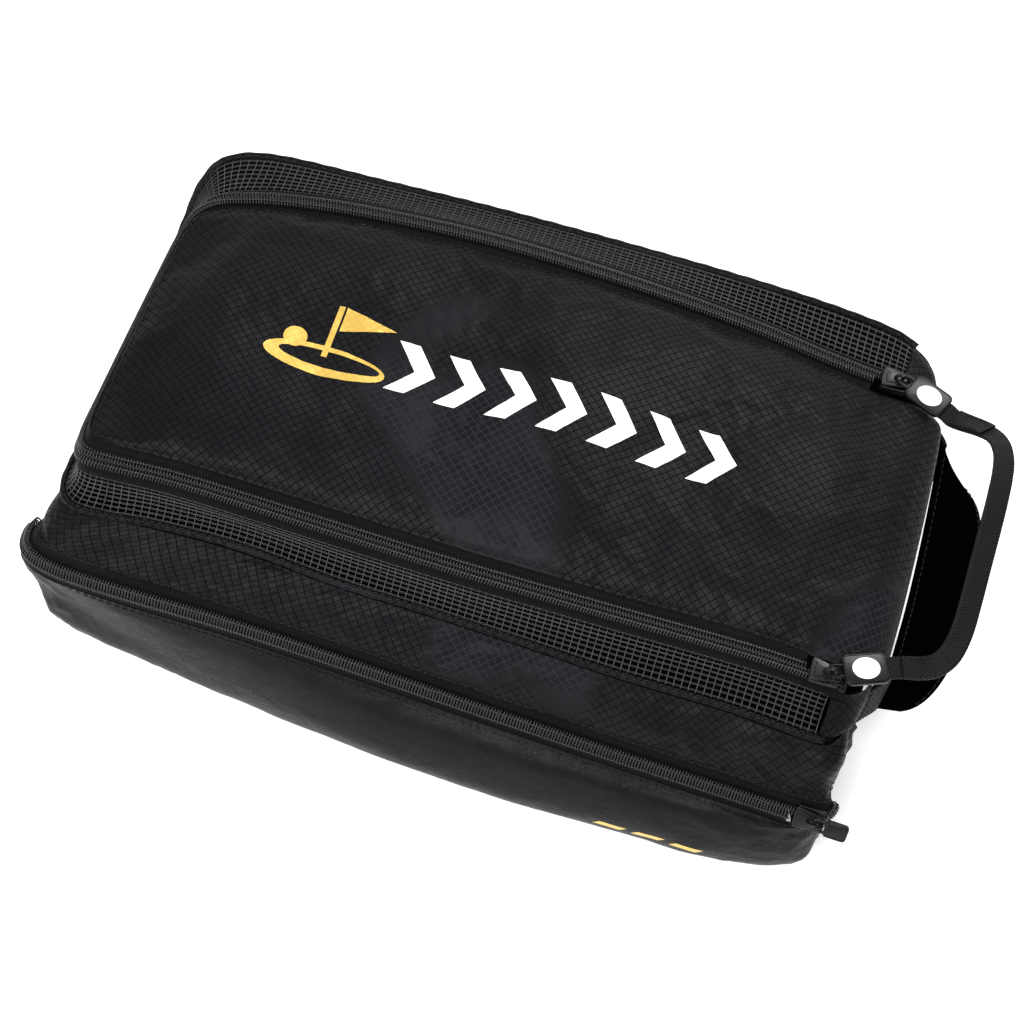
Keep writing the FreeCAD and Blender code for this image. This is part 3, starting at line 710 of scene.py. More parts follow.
cut = int(np.argmax(flap[:, 2, 0] < 144))
for tag, index in (("near", 2), ("far", flap.shape[1] - 3)):
    stitches(f"flap_stitching_{tag}", *grid_line(flap, 0, index, cut), "flap")
stitches("flap_stitching_toe", *grid_line(flap, 1, flap.shape[0] - 3), "flap")

# ---- net strips
S_P = smooth(SEAM, 600)


def round_the_bag(line):
    """How far each point is round the bag, measured on a smaller rounded rectangle inside it."""
    x, y = line[:, 0], line[:, 1]
    turn = 32.0
    near_key = 170 - x
    near_turn = 320 + turn * np.arctan2(-150 - x, -70 - y)
    toe_key = 320 + turn * math.pi / 2 + (y + 70)
    far_turn = 320 + turn * math.pi / 2 + 120 + turn * np.arctan2(y - 50, -150 - x)
    far_key = 440 + turn * math.pi + (x + 150)
    west = x < -150
    return np.select(
        [~west & (y < 0), west & (y < -70), west & (y <= 50), west], [near_key, near_turn, toe_key, far_turn],
        far_key
    )


def paired(a, b, count):
    """Points on two lines that run side by side, matched by where they are round the bag."""
    keys = [round_the_bag(line) for line in (a, b)]
    lo, hi = max(k.min() for k in keys), min(k.max() for k in keys)
    want = np.linspace(lo, hi, count)
    out = []
    for line, key in zip((a, b), keys):
        order = np.argsort(key)
        out.append(np.stack([np.interp(want, key[order], line[order, k]) for k in range(3)], 1))
    return out


NET_TOP, NET_LOW = paired(M_P - M_A * 6.9 - M_N * 1.1, S_P, 1200)
net_len = lengths((NET_TOP + NET_LOW) / 2)
CELL = 3.25
starts = np.arange(0, net_len[-1], CELL)


def net_grid(at, rows):
    """The net's surface: it sags in between the zip and the seam and ripples along its length."""
    top, low = read_at(NET_TOP, net_len, at), read_at(NET_LOW, net_len, at)
    w = np.linspace(0, 1, rows)[None, :, None]
    p = top[:, None] * (1 - w) + low[:, None] * w
    middle = (top + low) / 2
    out = unit(np.cross(tangents(middle), unit(low - top)))
    out = out * np.sign((out * (middle - [0, 4, 70])).sum(1, keepdims=True))
    sag = np.sin(np.pi * w) * (2.4 + 0.9 * np.sin(at / 31)[:, None, None])
    slack = np.where((top[:, 1] < 0)[:, None, None], 1.0, 0.25)
    return p - out[:, None] * sag * slack, out


def net_span(name, lo, hi, node):
    """Woven strands over one stretch of the strip: straight cross yarns and waved long yarns in pairs."""
    at = starts[(starts >= lo) & (starts <= hi)]
    rows = 9
    fine = np.append(np.repeat(at, 2) + np.tile([0, CELL / 2], len(at)), at[-1] + CELL)
    P, out = net_grid(fine, rows)
    cross, cross_out = net_grid(at, 17)
    ripple = 0.16 * np.sin(np.linspace(0, 8 * math.pi, 17))[:, None]
    parts = [tube(c + o * ripple, 0.29, 5, up=o + 0.01) for c, o in zip(cross, cross_out)]
    wave = (np.arange(len(fine)) % 2) * 2 - 1
    for j in range(rows):
        side = unit(P[:, min(j + 1, rows - 1)] - P[:, max(j - 1, 0)])
        for s in (-1, 1):
            yarn = P[:, j] + side * 0.22 * s + out * (0.2 * s * wave)[:, None]
            parts.append(tube(yarn, 0.16, 4, up=Z * 0.9 + X * 0.1))
    piece(name, *merged(parts), NET, body="bag", slot="net", nodes=[node])


x_top = read_at(NET_TOP, net_len, starts)[:, 0]
back = x_top[::-1]
near_lo = starts[int(np.argmax(x_top < 162))]
toe_lo = starts[int(np.argmax(x_top < -150))]
far_hi = starts[len(starts) - 1 - int(np.argmax(back < 160))]
toe_hi = starts[len(starts) - 1 - int(np.argmax(back < -140))]
net_span("net_near", near_lo, toe_lo - 0.1, "mesh_near")
net_span("net_toe", toe_lo, toe_hi - 0.1, "mesh_toe")
net_span("net_far", toe_hi, far_hi, "mesh_far")

# Piping: a corded binding along the seam, in three lengths.
SIDES = 10
for name, lo, hi in (("piping_near", 6, 215), ("piping_toe", 213, 366), ("piping_far", 364, 590)):
    path = S_P[lo:hi]
    verts, _ = tube(path, 1.75 + 0.12 * np.sin(np.arange(hi - lo) * 0.9), SIDES)
    quads = grid_faces(len(path), SIDES, wrap_v=True)
    grid = np.stack(np.meshgrid(lengths(path) * MM, np.linspace(0, 0.011, SIDES + 1), indexing="ij"), 2)
    uvs = grid[quads // SIDES, quads % SIDES].reshape(-1, 2)
    piece(name + "_binding", verts, quads, RIPSTOP, uvs, "bag", "ripstop", [name])
    stitches(name + "_stitching", path + Z * 1.75, np.tile(Z, (len(path), 1)), "bag", step=3.2)


# ---- walls
def panel(top, low, rows, ref):
    """A grid between two lines, the way out, and how far along, down and between them each point is."""
    w = np.linspace(0, 1, rows)
    middle = (top + low) / 2
    out = unit(np.cross(tangents(middle), low - top))
    out = out * np.where((out * ref).sum(1, keepdims=True) < 0, -1, 1)
    down = w[None] * np.linalg.norm(low - top, axis=1)[:, None]
    return between(top, low, w), out[:, None], lengths(middle)[:, None], down, w


def settled(name, P, w, gain, limit, **kw):
    """The panel after its cloth simulation, held along its edges and never far from where it started."""
    hold = np.clip(1 - np.minimum(1, np.sin(np.pi * w) * gain)[None] * np.ones((len(P), 1)), 0, 1)
    hold[:2] = hold[-2:] = 1
    return capped(P, settle(name, P, hold, **kw), limit)


def wall(
    name, top, low, rows, seed, bulge, node, wrinkle=1.0, foot_tuck=0.0, sim=0.0, cloth=(RIPSTOP, "ripstop")
):
    """A soft wall between two lines: it bulges, sags low down and is creased near its seams."""
    P, out, L, H, w = panel(top, low, rows, ((top + low) / 2 - [0, 4, 50]) * [1, 1, 0])
    pin = np.minimum(1, np.sin(np.pi * w) * 3)[None]
    soft = bulge * np.sin(np.pi * w**1.25)[None] ** 0.8 - foot_tuck * ease((w - 0.84) / 0.16)[None] ** 1.6
    fold = 1.6 * crumple(L / 40 + H / 55, H / 34, seed, 3) + 0.8 * lattice(L / 14, H / 30, seed + 4)
    P = P + out * (soft + wrinkle * fold * pin)[..., None]
    if sim:
        P = settled(name + "_sim", P, w, 3.2, 5.0, frames=18, oversize=sim, pressure=-0.2, seed=seed)
    sheet(name, refine(P), cloth[0], 0.7, "bag", cloth[1], nodes=[node])


def floor_line(line, inset, z):
    """The foot of the walls below a seam line."""
    q = line.copy()
    q[:, 0] = np.clip(q[:, 0], -170, 170) * 0.985
    q[:, 1] = np.where(q[:, 1] < 0, np.maximum(q[:, 1], -101), np.minimum(q[:, 1], 101)) * inset
    q[:, 2] = z
    return q


foot = floor_line(S_P, 0.985, 2.0)
# Rows of the seam where the near side, the toe end and the far side stop.
near_i, toe_i, far_i = 206, 374, at_x(S_P[374:], 161, True) + 374
back, toe, far = slice(7, near_i + 1, 3), slice(near_i, toe_i + 9, 2), slice(toe_i - 8, far_i + 1, 2)
lift = [0, 0, 0.6]
wall(
    "pocket_back_lining", S_P[back], foot[back] + lift, 14, 31, -1.5, "pocket_divider", 0.5,
    cloth=(LINING, "lining")
)
wall("toe_wall_cloth", S_P[toe], foot[toe], 26, 41, 2.5, "toe_wall", foot_tuck=8.0, sim=0.010)
wall("far_wall_cloth", S_P[far], foot[far], 28, 51, 4.5, "far_wall", foot_tuck=8.0, sim=0.012)
# The handle end: from the far corner round to the near corner, under the rolled end of the flap.
END_TOP = smooth([
    (157, 104.2, 102.5), (169, 97.5, 99.5), (174.5, 84, 98), (175, 62, 97.4), (174.5, 20, 97),
    (174.5, -30, 97), (174, -72, 97), (171.5, -88, 96), (168, -96, 95.5), (160, -100.5, 96), (148, -100.8, 96)
], 120)
end_foot = floor_line(END_TOP, 0.985, 2.0)
end_foot[:, 0] = np.interp(np.arange(120), [0, 14, 30, 90, 106, 119], [154, 166, 169.5, 169, 164, 146])
wall("handle_wall_cloth", END_TOP, end_foot, 28, 61, 1.8, "handle_wall", 0.7, foot_tuck=6.0, sim=0.006)
# The two plain corner panels beside the net, below the rolled end.
near_corner_top = smooth([(161, -88.5, 111.5), (168, -86, 109.5), (174, -79, 104.5), (176.5, -72, 99.8)], 30)
near_corner_low = smooth([(160.5, -101.5, 97), (167.5, -99.5, 96.3), (173.5, -91, 96), (175.2, -73, 97)], 30)
wall("end_corner_near_cloth", near_corner_top, near_corner_low, 12, 71, 1.2, "end_corner_near", 0.45)
far_corner_top = smooth([(176.5, 63.5, 99.8), (174, 70, 101.5), (168, 77, 103.5), (159, 81.5, 104.6)], 30)
far_corner_low = smooth([(175.2, 66, 97.2), (175.4, 82, 97.6), (171.5, 94.5, 99), (160, 103, 102)], 30)
wall("end_corner_far_cloth", far_corner_top, far_corner_low, 12, 81, 1.2, "end_corner_far", 0.45)
# Back panel: a flat base sheet with a slightly raised rim.
rim = np.vstack([foot[near_i : far_i : 4], end_foot[:98:4]])
NEAR_FOOT = [
    (165, -99), (165, -107), (152, -113), (130, -115.5), (87, -117), (43, -117), (-3, -115.5), (-49, -113.5),
    (-98, -111), (-140, -109), (-158, -106.5), (-168, -100)
]
rim = np.vstack([rim * [0.965, 0.95, 1], np.array([(x, y, 2) for x, y in NEAR_FOOT])])
scale = np.linspace(0, 1, 22)[None, :, None]
base = rim[:, None] * [1, 1, 0] * scale
base = np.concatenate([base, base[:1]])
ripple = 0.35 * (1 + lattice(base[..., 0] / 30, base[..., 1] / 30, 5)) * np.sin(np.pi * scale[..., 0]) ** 0.5
base[..., 2] = 0.5 + 1.4 * ease((scale[..., 0] - 0.9) * 10) + ripple
sheet("back_panel_cloth", base, RIPSTOP, 0.5, "bag", "ripstop", base[..., :2] * MM, ["back_panel"])

# ---- pocket
panel_to = at_x(K_P, 160, True)
panel_from = int(np.argmax(K_P[:, 1] < -96))
corner_start = int(np.argmax(K_P[:, 1] < -94))
corner_end = 240 + int(np.argmax(K_P[240:, 1] > -110))
bag_rows, panel_rows = slice(corner_start, corner_end), slice(panel_from, panel_to)
UPPER_OFFS = [(0.5, 0.2), (2.5, 0.25), (4.4, 0.2), (6.2, 0.0), (8.2, -0.3)]
LOWER_OFFS = [(-7.6, -1.2), (-6.0, -0.4), (-4.5, 0.1), (-2.5, 0.25), (-0.5, 0.2)]
tape("pocket_zip_tape_bag", POCKET_ZIP, bag_rows, UPPER_OFFS, "bag", ["pocket_tape_bag"])
tape("pocket_zip_tape_panel", POCKET_ZIP, panel_rows, LOWER_OFFS, "pocket_front", ["pocket_tape_panel"])
K_L = POCKET_ZIP.L
ends = K_L[corner_start + 1], K_L[corner_end - 1]
coil_row("pocket_zip_teeth_bag", POCKET_ZIP, *ends, 1, "bag", "pocket_coil_bag")
ends = K_L[panel_from], K_L[panel_to]
coil_row("pocket_zip_teeth_panel", POCKET_ZIP, *ends, -1, "pocket_front", "pocket_coil_panel", 0.66)

# Gusset: from the piping down to the pocket zip's tape, round both ends.
N_GUSSET = 150
g_top = smooth([
    (-173.5, -78, 86.4), (-166, -93.5, 89.5), (-152, -98, 92), (-130, -97, 93.6), (-92, -96.2, 94.4),
    (-48, -99, 94.6), (-9, -99.6, 94.6), (31, -100.6, 94.6), (74, -102.2, 94.4), (122, -102.2, 94.4),
    (160, -104.2, 94.2), (169, -99, 93.8), (172.5, -88, 93.5), (173.5, -80, 93.5)
], N_GUSSET)
g_low = (K_P + K_A * 7.4 - K_N * 0.2)[np.linspace(3, 416, N_GUSSET).astype(int)]
gp, g_out, gl, gh, w = panel(g_top, g_low, 22, [0, -1, 1])
right = ease((g_top[:, 0] - 70) / 60)[:, None]
folds = 1.9 * lattice(gl / 16 + gh / 26, gh / 30, 91)
folds = folds + (1.0 + 1.3 * right) * crumple(gl / 26 - gh / 30, gh / 22, 93, 2)
pin = np.minimum(1, np.sin(np.pi * w) * 2.4)[None]
gp = gp + g_out * (2.2 * np.sin(np.pi * w)[None] + folds * pin)[..., None]
gp = refine(settled("gusset_sim", gp, w, 2.2, 3.0, oversize=0.008, pressure=-0.15, seed=5))
sheet("pocket_gusset_cloth", gp, RIPSTOP, 0.6, "bag", "ripstop", nodes=["pocket_gusset"])
stitches("gusset_stitching", *grid_line(gp, 0, gp.shape[1] - 3), "bag", step=3.2)

# Leather front: from the zip's lower tape out over its bulge and in to the foot.
N_LEATHER, N_DOWN = 130, 40
l_top = (K_P - K_A * 7.0 - K_N * 0.5)[np.linspace(panel_from, panel_to + 4, N_LEATHER).astype(int)]
bulge_line = smooth([
    (-181, -97.5, 46), (-184, -104, 46), (-177, -110.5, 44.5), (-153, -116, 40.5), (-98, -124.5, 34),
    (-49, -131, 32), (-3, -135, 31), (43, -137, 31), (87, -135, 31), (130, -134, 29), (156, -130.5, 28),
    (171, -122.5, 27.5), (175.5, -110, 29)
], N_LEATHER)
foot_line = smooth([
    (-170, -97, 6), (-170, -102, 5), (-161, -105.5, 4), (-142, -108, 3.4), (-98, -110.5, 3), (-49, -113, 3),
    (-3, -115, 3), (43, -116.5, 3), (87, -116.5, 3), (130, -115, 3.2), (156, -112, 3.6), (167, -107, 4.4),
    (168, -99, 5)
], N_LEATHER)
shoulder = l_top * 0.42 + bulge_line * 0.58 + [0, -1.0, 8.0]
lower = bulge_line * 0.5 + foot_line * 0.5 + [0, -4.5, -2.0]
cols = np.stack([smooth(row, N_DOWN) for row in np.stack([l_top, shoulder, bulge_line, lower, foot_line], 1)])
ll = lengths(bulge_line)[:, None]
lh = np.stack([lengths(row) for row in cols])
pin = np.minimum(1, np.sin(np.pi * np.linspace(0, 1, N_DOWN)) * 3)[None]
ends = np.exp(-((ll / 30) ** 2)) + np.exp(-(((ll[-1] - ll) / 45) ** 2))
dent = 1.0 * lattice(ll / 60, lh / 34, 101) + (0.5 + 2.2 * ends) * crumple(ll / 24 + lh / 40, lh / 26, 103, 3)
l_n = grid_normals(cols)
l_n = l_n * (1 if (l_n * [0, -1, 0]).sum() > 0 else -1)
cols = refine(cols + l_n * (dent * pin)[..., None])
sheet("pocket_front_leather", cols, LEATHER, 1.2, "pocket_front", "leather", nodes=["pocket_panel"])
stitches("leather_stitching", cols[:, 3], np.tile([0, -0.6, 0.8], (len(cols), 1)), "pocket_front", step=3.6)


def pocket_side(name, side, edge, brow, top, low, node, seed):
    """The cloth end of the pocket: from the bag's corner out to the leather's end."""
    k = np.linspace(0, 1, len(edge))[None, :, None]
    w = np.linspace(0, 1, 16)[:, None, None]
    back_edge = np.array(top) * (1 - k) + np.array(low) * k
    P = back_edge * (1 - w) + edge[None] * w
    P = P + (resample(brow, 16)[:, None] - P[:, :1]) * (1 - k) ** 3
    puff = side * np.sin(np.pi * w) * (1.6 * np.sin(np.pi * k) + 1.4 * crumple(w * 2.1, k * 3.3, seed, 2))
    sheet(name, P + X * puff, RIPSTOP, 0.6, "bag", "ripstop", nodes=[node])


toe_edge = (cols[0] + [0.4, 0.3, 0])[::2]
handle_edge = (cols[-1] + [-0.4, 0.3, 0])[::2]
brow_line = K_P + K_A * 6.0 - K_N * 0.5
toe_brow, handle_brow = brow_line[3 : corner_start + 3], brow_line[416 : corner_end - 3 : -1]
toe_back, handle_back = ((-172, -80, 74), (-164, -84, 3)), ((171.0, -84, 63), (163, -86, 3))
pocket_side("pocket_end_toe_cloth", -1, toe_edge, toe_brow, *toe_back, "pocket_end_toe", 111)
pocket_side("pocket_end_handle_cloth", 1, handle_edge, handle_brow, *handle_back, "pocket_end_handle", 121)


# ---- sliders and pulls
def plate(outline, low, high, bevel):
    """A flat piece with rounded edges from an outline of (x, y) points, run anticlockwise."""
    o = np.asarray(outline, float)
    t = unit(np.roll(o, -1, 0) - np.roll(o, 1, 0))
    inward = np.stack([-t[:, 1], t[:, 0]], 1)
    turns = [math.pi / 2 * k / 3 for k in range(4)]
    layers = [(bevel * (1 - math.sin(a)), low + bevel * (1 - math.cos(a))) for a in turns]
    layers += [(bevel * (1 - math.cos(a)), high - bevel * (1 - math.sin(a))) for a in turns]
    verts = np.vstack([np.c_[o + inward * d, np.full(len(o), z)] for d, z in layers])
    return verts, closed(len(layers), len(o))


def round_rect(x0, x1, y0, y1, r):
    out = []
    for cx, cy, start in (
        (x1 - r, y0 + r, -90), (x1 - r, y1 - r, 0), (x0 + r, y1 - r, 90), (x0 + r, y0 + r, 180)
    ):
        for k in range(7):
            a = math.radians(start + 90 * k / 6)
            out.append((cx + r * math.cos(a), cy + r * math.sin(a)))
    return out


def frame_of(point, across, normal):
    a, n_ = unit(np.asarray(across, float)), unit(np.asarray(normal, float))
    return np.asarray(point, float), np.cross(a, n_), a, n_


def put_at(parts, placing):
    v, f = merged(parts)
    p, a, b, c = placing
    return p + v[:, :1] * a + v[:, 1:2] * b + v[:, 2:] * c, f


TOP, THICK = 2.8, 1.5
body_outline = smooth([
    (0.3, -4.9), (2.6, -5.0), (6.4, -4.3), (9.5, -3.5), (12.0, -3.3), (13, -2.6), (13.1, 0), (13, 2.6),
    (12.0, 3.3), (9.5, 3.5), (6.4, 4.3), (2.6, 5.0), (0.3, 4.9), (-0.1, 2), (-0.1, -2), (0.3, -4.9)
], 49)[:-1]


def slider_parts():
    """A coil slider: a top plate with rolled flanges, a lower plate, a post and a bridge for the pull."""
    crown = [(x * 0.72 + 1.9, y * 0.62) for x, y in body_outline]
    parts = [
        plate(body_outline, TOP, TOP + THICK, 0.5), plate(crown, TOP + THICK - 0.2, TOP + THICK + 0.45, 0.3)
    ]
    for s in (-1, 1):
        rail = smooth([
            (0.6, s * 4.9, 1.7), (3.0, s * 4.85, 1.65), (6.6, s * 4.75, 1.65), (10, s * 4.6, 1.7),
            (12.4, s * 4.4, 1.9)
        ], 16)
        parts.append(tube(rail, 0.55, 8, squash=2.2))
    parts.append(plate(round_rect(0.2, 12.8, -3.7, 3.7, 1.5), -2.7, -1.2, 0.4))
    parts.append(plate(round_rect(4.3, 8.6, -0.4, 0.4, 0.3), -1.3, TOP + 0.2, 0.1))
    bridge = [
        (9.0 + 3.2 * math.cos(t), 0, TOP + THICK + 0.1 + 3.0 * math.sin(t))
        for t in np.linspace(math.pi, 0, 17)
    ]
    parts.append(tube(bridge, 0.8, 10, up=Y))
    return parts


def pull_parts(length, width, ribs):
    """A pull: crossbar, two arms that run into a rounded plate with a raised rim."""
    start = 4.4
    parts = [tube([(0, y, 0) for y in np.linspace(-3.3, 3.3, 7)], 0.8, 10, up=X)]
    for s in (-1, 1):
        arm = smooth([(-0.2, s * 2.75, 0), (1.6, s * 2.75, 0.1), (3.4, s * 2.65, 0.1), (5.6, s * 2.5, 0)], 12)
        parts.append(tube(arm, 0.68, 8))
    out = round_rect(start, start + length, -width / 2, width / 2, width / 5)
    parts.append(plate(out, -1.15, 1.0, 0.45))
    rim = np.array(
        round_rect(start + 0.75, start + length - 0.75, -width / 2 + 0.75, width / 2 - 0.75, width / 6)
    )
    loop = np.c_[np.vstack([rim, rim[:1]]), np.full(len(rim) + 1, 1.0)]
    parts.append(tube(loop, 0.22, 6))
    for k in range(ribs):
        x = start + length - 2.2 - 1.3 * k
        parts.append(
            tube([(x, y, 1.0) for y in np.linspace(-width / 2 + 1.6, width / 2 - 1.6, 6)], 0.24, 6, up=X)
        )
    return parts


def badge_parts():
    """A domed oval inlay."""
    a = np.linspace(0, 2 * math.pi, 40, endpoint=False)
    rings = [(1.0, 0.72), (0.985, 1.02), (0.93, 1.16), (0.7, 1.25), (0.35, 1.29)]
    verts = np.vstack(
        [np.c_[14.2 + 6.0 * r * np.cos(a), 5.1 * r * np.sin(a), np.full(40, z)] for r, z in rings]
    )
    return [(verts, closed(len(rings), 40))]


ALONG, UP = 9.0, 5.5  # from a slider's start to its bridge
eyes, pull_end = {}, {}
PULL_SWING = 0.44  # how far a pull is turned towards the strap, as a slope
for tag, y, z, swing in (("near", -83.0, 113.0, -PULL_SWING), ("far", 76.0, 106.0, PULL_SWING)):
    start = np.array([149.0, y, z])
    made = put_at(slider_parts(), frame_of(start, Y, Z))
    piece(
        f"zip_slider_{tag}", *made, SLIDER, body="main_sliders", slot="slider", nodes=[f"main_slider_{tag}"]
    )
    eyes[tag] = start + X * ALONG + Z * UP
    at = frame_of(eyes[tag], Y + X * swing, Z)
    pull_end[tag] = eyes[tag] + at[1] * 23.4
    made = put_at(pull_parts(19.0, 14.0, 0), at)
    piece(f"zip_pull_{tag}", *made, PULL, body="pull_set", slot="pull", nodes=[f"pull_{tag}"])
    made = put_at(badge_parts(), at)
    piece(f"pull_inlay_{tag}", *made, BADGE, body="pull_set", slot="badge", nodes=[f"badge_{tag}"])
# The pocket slider runs on a straight line from the toe end, at z 70, to the handle end, at z 60.
slider_x, toe_x, handle_x = 162.0, -145.0, 175.5
pk_start = np.array([slider_x, -119.0, 70 + (60 - 70) * (slider_x - toe_x) / (handle_x - toe_x)])
pk_dir = unit(np.array([handle_x - toe_x, 0, -10.0]))
pk_n = unit(unit(np.cross(pk_dir, Z)) * math.cos(TILT) + Z * math.sin(TILT))
pk_a = unit(np.cross(pk_n, pk_dir))
made = put_at(slider_parts(), frame_of(pk_start, pk_a, pk_n))
piece("pocket_zip_slider", *made, SLIDER, body="pocket_slider_body", slot="slider", nodes=["pocket_slider"])
made = put_at(pull_parts(10.0, 8.0, 3), frame_of(pk_start + pk_dir * ALONG + pk_n * UP, pk_a, pk_n))
piece("pocket_zip_pull", *made, SLIDER, body="pocket_pull_body", slot="slider", nodes=["pocket_pull"])

# End stops: small crimped blocks at the ends of the bag's coil.
block = [plate(round_rect(-1.3, 1.3, -2.0, 2.0, 0.6), -0.9, 2.3, 0.35)]
stops = [put_at(block, frame_of(M_P[k] - M_A[k] * 2.4, M_A[k], M_N[k])) for k in (2, N_MAIN - 3)]
piece("zip_end_stops", *merged(stops), SLIDER, body="bag", slot="slider", nodes=["main_zip_stops"])


# ---- strap and handle
def webbing(name, line, across, width, thick, material, body, nodes, ridges=0.0):
    """Flat webbing with rounded selvedges along a line."""
    n = unit(np.cross(tangents(line), across))
    half = width / 2
    face = [(x, thick / 2) for x in np.linspace(-half + 1.4, half - 1.4, 9)]
    prof = [
        (-half + 0.35, -thick / 2), (-half, -thick * 0.3), (-half, thick * 0.3), (-half + 0.35, thick / 2),
        *face
    ]
    prof += [(half - 0.35, thick / 2), (half, thick * 0.3), (half, -thick * 0.3), (half - 0.35, -thick / 2)]
    prof += [(x, -thick / 2) for x in np.linspace(half - 1.4, -half + 1.4, 9)]
    m = len(prof)
    pr = np.array(prof)
    L = lengths(line)
    verts = line[:, None] + across[:, None] * pr[None, :, :1] + n[:, None] * pr[None, :, 1:]
    if ridges:
        rib = ridges * np.sin(L * 2 * math.pi / 1.6)
        verts = verts + n[:, None] * rib[:, None, None] * np.sign(pr[None, :, 1:])
    round_it = lengths(np.vstack([pr, pr[:1]])) * MM
    i, j = (q.ravel() for q in np.meshgrid(np.arange(len(line) - 1), np.arange(m), indexing="ij"))
    corners = ((0, 0), (0, 1), (1, 1), (1, 0))
    uvs = np.stack([np.c_[L[i + a] * MM, round_it[j + b]] for a, b in corners], 1).reshape(-1, 2)
    uvs = np.vstack([uvs, np.zeros((2 * m, 2))])
    piece(name, verts.reshape(-1, 3), closed(len(line), m), material, uvs, body, "webbing", nodes)


n_end, f_end = pull_end["near"], pull_end["far"]
n_way, f_way = unit(n_end - eyes["near"]), unit(f_end - eyes["far"])
n_side, f_side = np.array([-n_way[1], n_way[0], 0]), np.array([-f_way[1], f_way[0], 0])
STRAP = [
    (*(n_end - n_way * 7.5 - Z * 1.9), *n_side), (*(n_end + n_way * 0.5 - Z * 1.2), *n_side),
    (*(n_end + n_way * 5 - Z * 1.0), *(n_side + Y * 0.3)), (192, -70, 118.9, -0.25, 1, 0.1),
    (198, -67.5, 120.5, -0.55, 0.8, 0.15), (202.6, -61.5, 122.8, -0.9, 0.4, 0.2),
    (205, -51, 125.8, -1, 0.1, 0.3), (205.6, -37, 128.5, -1, 0.05, 0.3), (206, -20, 130.4, -1, 0.05, 0.3),
    (206.6, -2, 131, -1, 0, 0.3), (207, 14, 130.8, -1, 0, 0.3), (207.2, 28, 129.6, -1, -0.05, 0.3),
    (206.4, 39, 127.4, -1, -0.15, 0.25), (203.4, 48.5, 124, -0.85, -0.45, 0.15),
    (197.5, 55, 119.5, -0.6, -0.75, 0.1), (*(f_end + f_way * 6.5 - Z * 0.6 - f_side * 0.8), *(-f_side)),
    (*(f_end + f_way * 0.5 - Z * 1.2), *(-f_side)), (*(f_end - f_way * 7.5 - Z * 1.9), *(-f_side))
]
N_STRAP = 330
strap = smooth(STRAP, N_STRAP)
strap_across = unit(strap[:, 3:])
wear = 0.5 * lattice(lengths(strap[:, :3]) / 22, np.zeros(N_STRAP), 7)
strap_line = strap[:, :3] + Z * wear[:, None]
strap_n = np.cross(tangents(strap_line), strap_across)
webbing("pull_strap_webbing", strap_line, strap_across, 10.0, 1.3, WEB, "pull_set", ["pull_strap"], 0.1)
# The strap's folded ends are sewn down beside each pull.
for tag, lo, hi in (("near", 24, 58), ("far", 272, 306)):
    line, across, up = strap_line[lo:hi] + strap_n[lo:hi] * 1.35, strap_across[lo:hi], strap_n[lo:hi]
    webbing(f"strap_fold_{tag}", line, across, 9.6, 1.0, WEB, "pull_set", [], 0.08)
    for mark, off in (("a", -3.6), ("b", 3.6)):
        path = (line + across * off + up * 0.5)[3:-3]
        stitches(f"strap_fold_stitching_{tag}_{mark}", path, up[3:-3], "pull_set", step=2.6, length=1.8)

# Carry handle: a wide smooth band that bows out past the end and leans out at mid-length.
share = np.linspace(0, 1, 150)
bow = np.sin(np.pi * share) ** 0.32
lean = math.radians(74) * bow
h_line = np.stack([184 + 15.5 * bow, -62 + 122 * share, 80 + 1.2 * np.sin(share * 9)], 1)
h_line = h_line + np.stack([np.cos(lean), 0 * lean, np.sin(lean)], 1) * 1.0
h_across = np.stack([np.sin(lean), 0 * lean, -np.cos(lean)], 1)
webbing("carry_handle_webbing", h_line, h_across, 29.6, 1.9, HANDLE_WEB_PAINTED_SHADE, "handle", ["carry_handle"])
normal_h = np.cross(tangents(h_line), h_across)
if normal_h[75][0] < 0:
    normal_h = -normal_h
for tag, off in (("a", -12.4), ("b", 12.4)):
    path = (h_line + h_across * off + normal_h * 0.95)[3:-3]
    stitches(f"handle_stitching_{tag}", path, normal_h[3:-3], "handle", step=3.4)
for tag, y, side in (("near", -62, -1), ("far", 60, 1)):
    line = smooth([
        (172.6, y + side * 21, 80), (173.2, y + side * 16, 80), (178.5, y + side * 8.5, 80),
        (183.2, y + side * 2.8, 80), (185.0, y - side * 0.6, 80)
    ], 40)
    ac = np.tile(-Z, (40, 1))
    webbing(f"handle_tab_webbing_{tag}", line, ac, 29.8, 1.8, TAB, "bag", [f"handle_tab_{tag}"], 0.15)
    nn = np.cross(tangents(line), ac)
    nn = nn * (1 if nn[5][0] > 0 else -1)
    # A box of stitches holds the tab on the wall.
    face = line + nn * 0.9
    end = face[21][None] + np.linspace(-11, 11, 12)[:, None] * Z
    box_path = np.vstack(
        [line[2:22] - Z * 11 + nn[2:22] * 0.9, end, line[2:22][::-1] + Z * 11 + nn[2:22][::-1] * 0.9]
    )
    stitches(
        f"tab_stitching_{tag}", box_path, np.tile(nn[10], (len(box_path), 1)), "bag", step=3.0, length=2.0
    )


# ---- generic prints
def inside(poly, x, y):
    """Which points lie inside a polygon."""
    p = np.asarray(poly)
    hit = np.zeros(x.shape, bool)
    for (x0, y0), (x1, y1) in zip(p, np.roll(p, -1, 0)):
        hit ^= ((y0 > y) != (y1 > y)) & (x < (x1 - x0) * (y - y0) / (y1 - y0 + 1e-12) + x0)
    return hit


def in_shape(outline, holes, x, y):
    good = inside(outline, x, y)
    for hole in holes:
        good &= ~inside(hole, x, y)
    return good


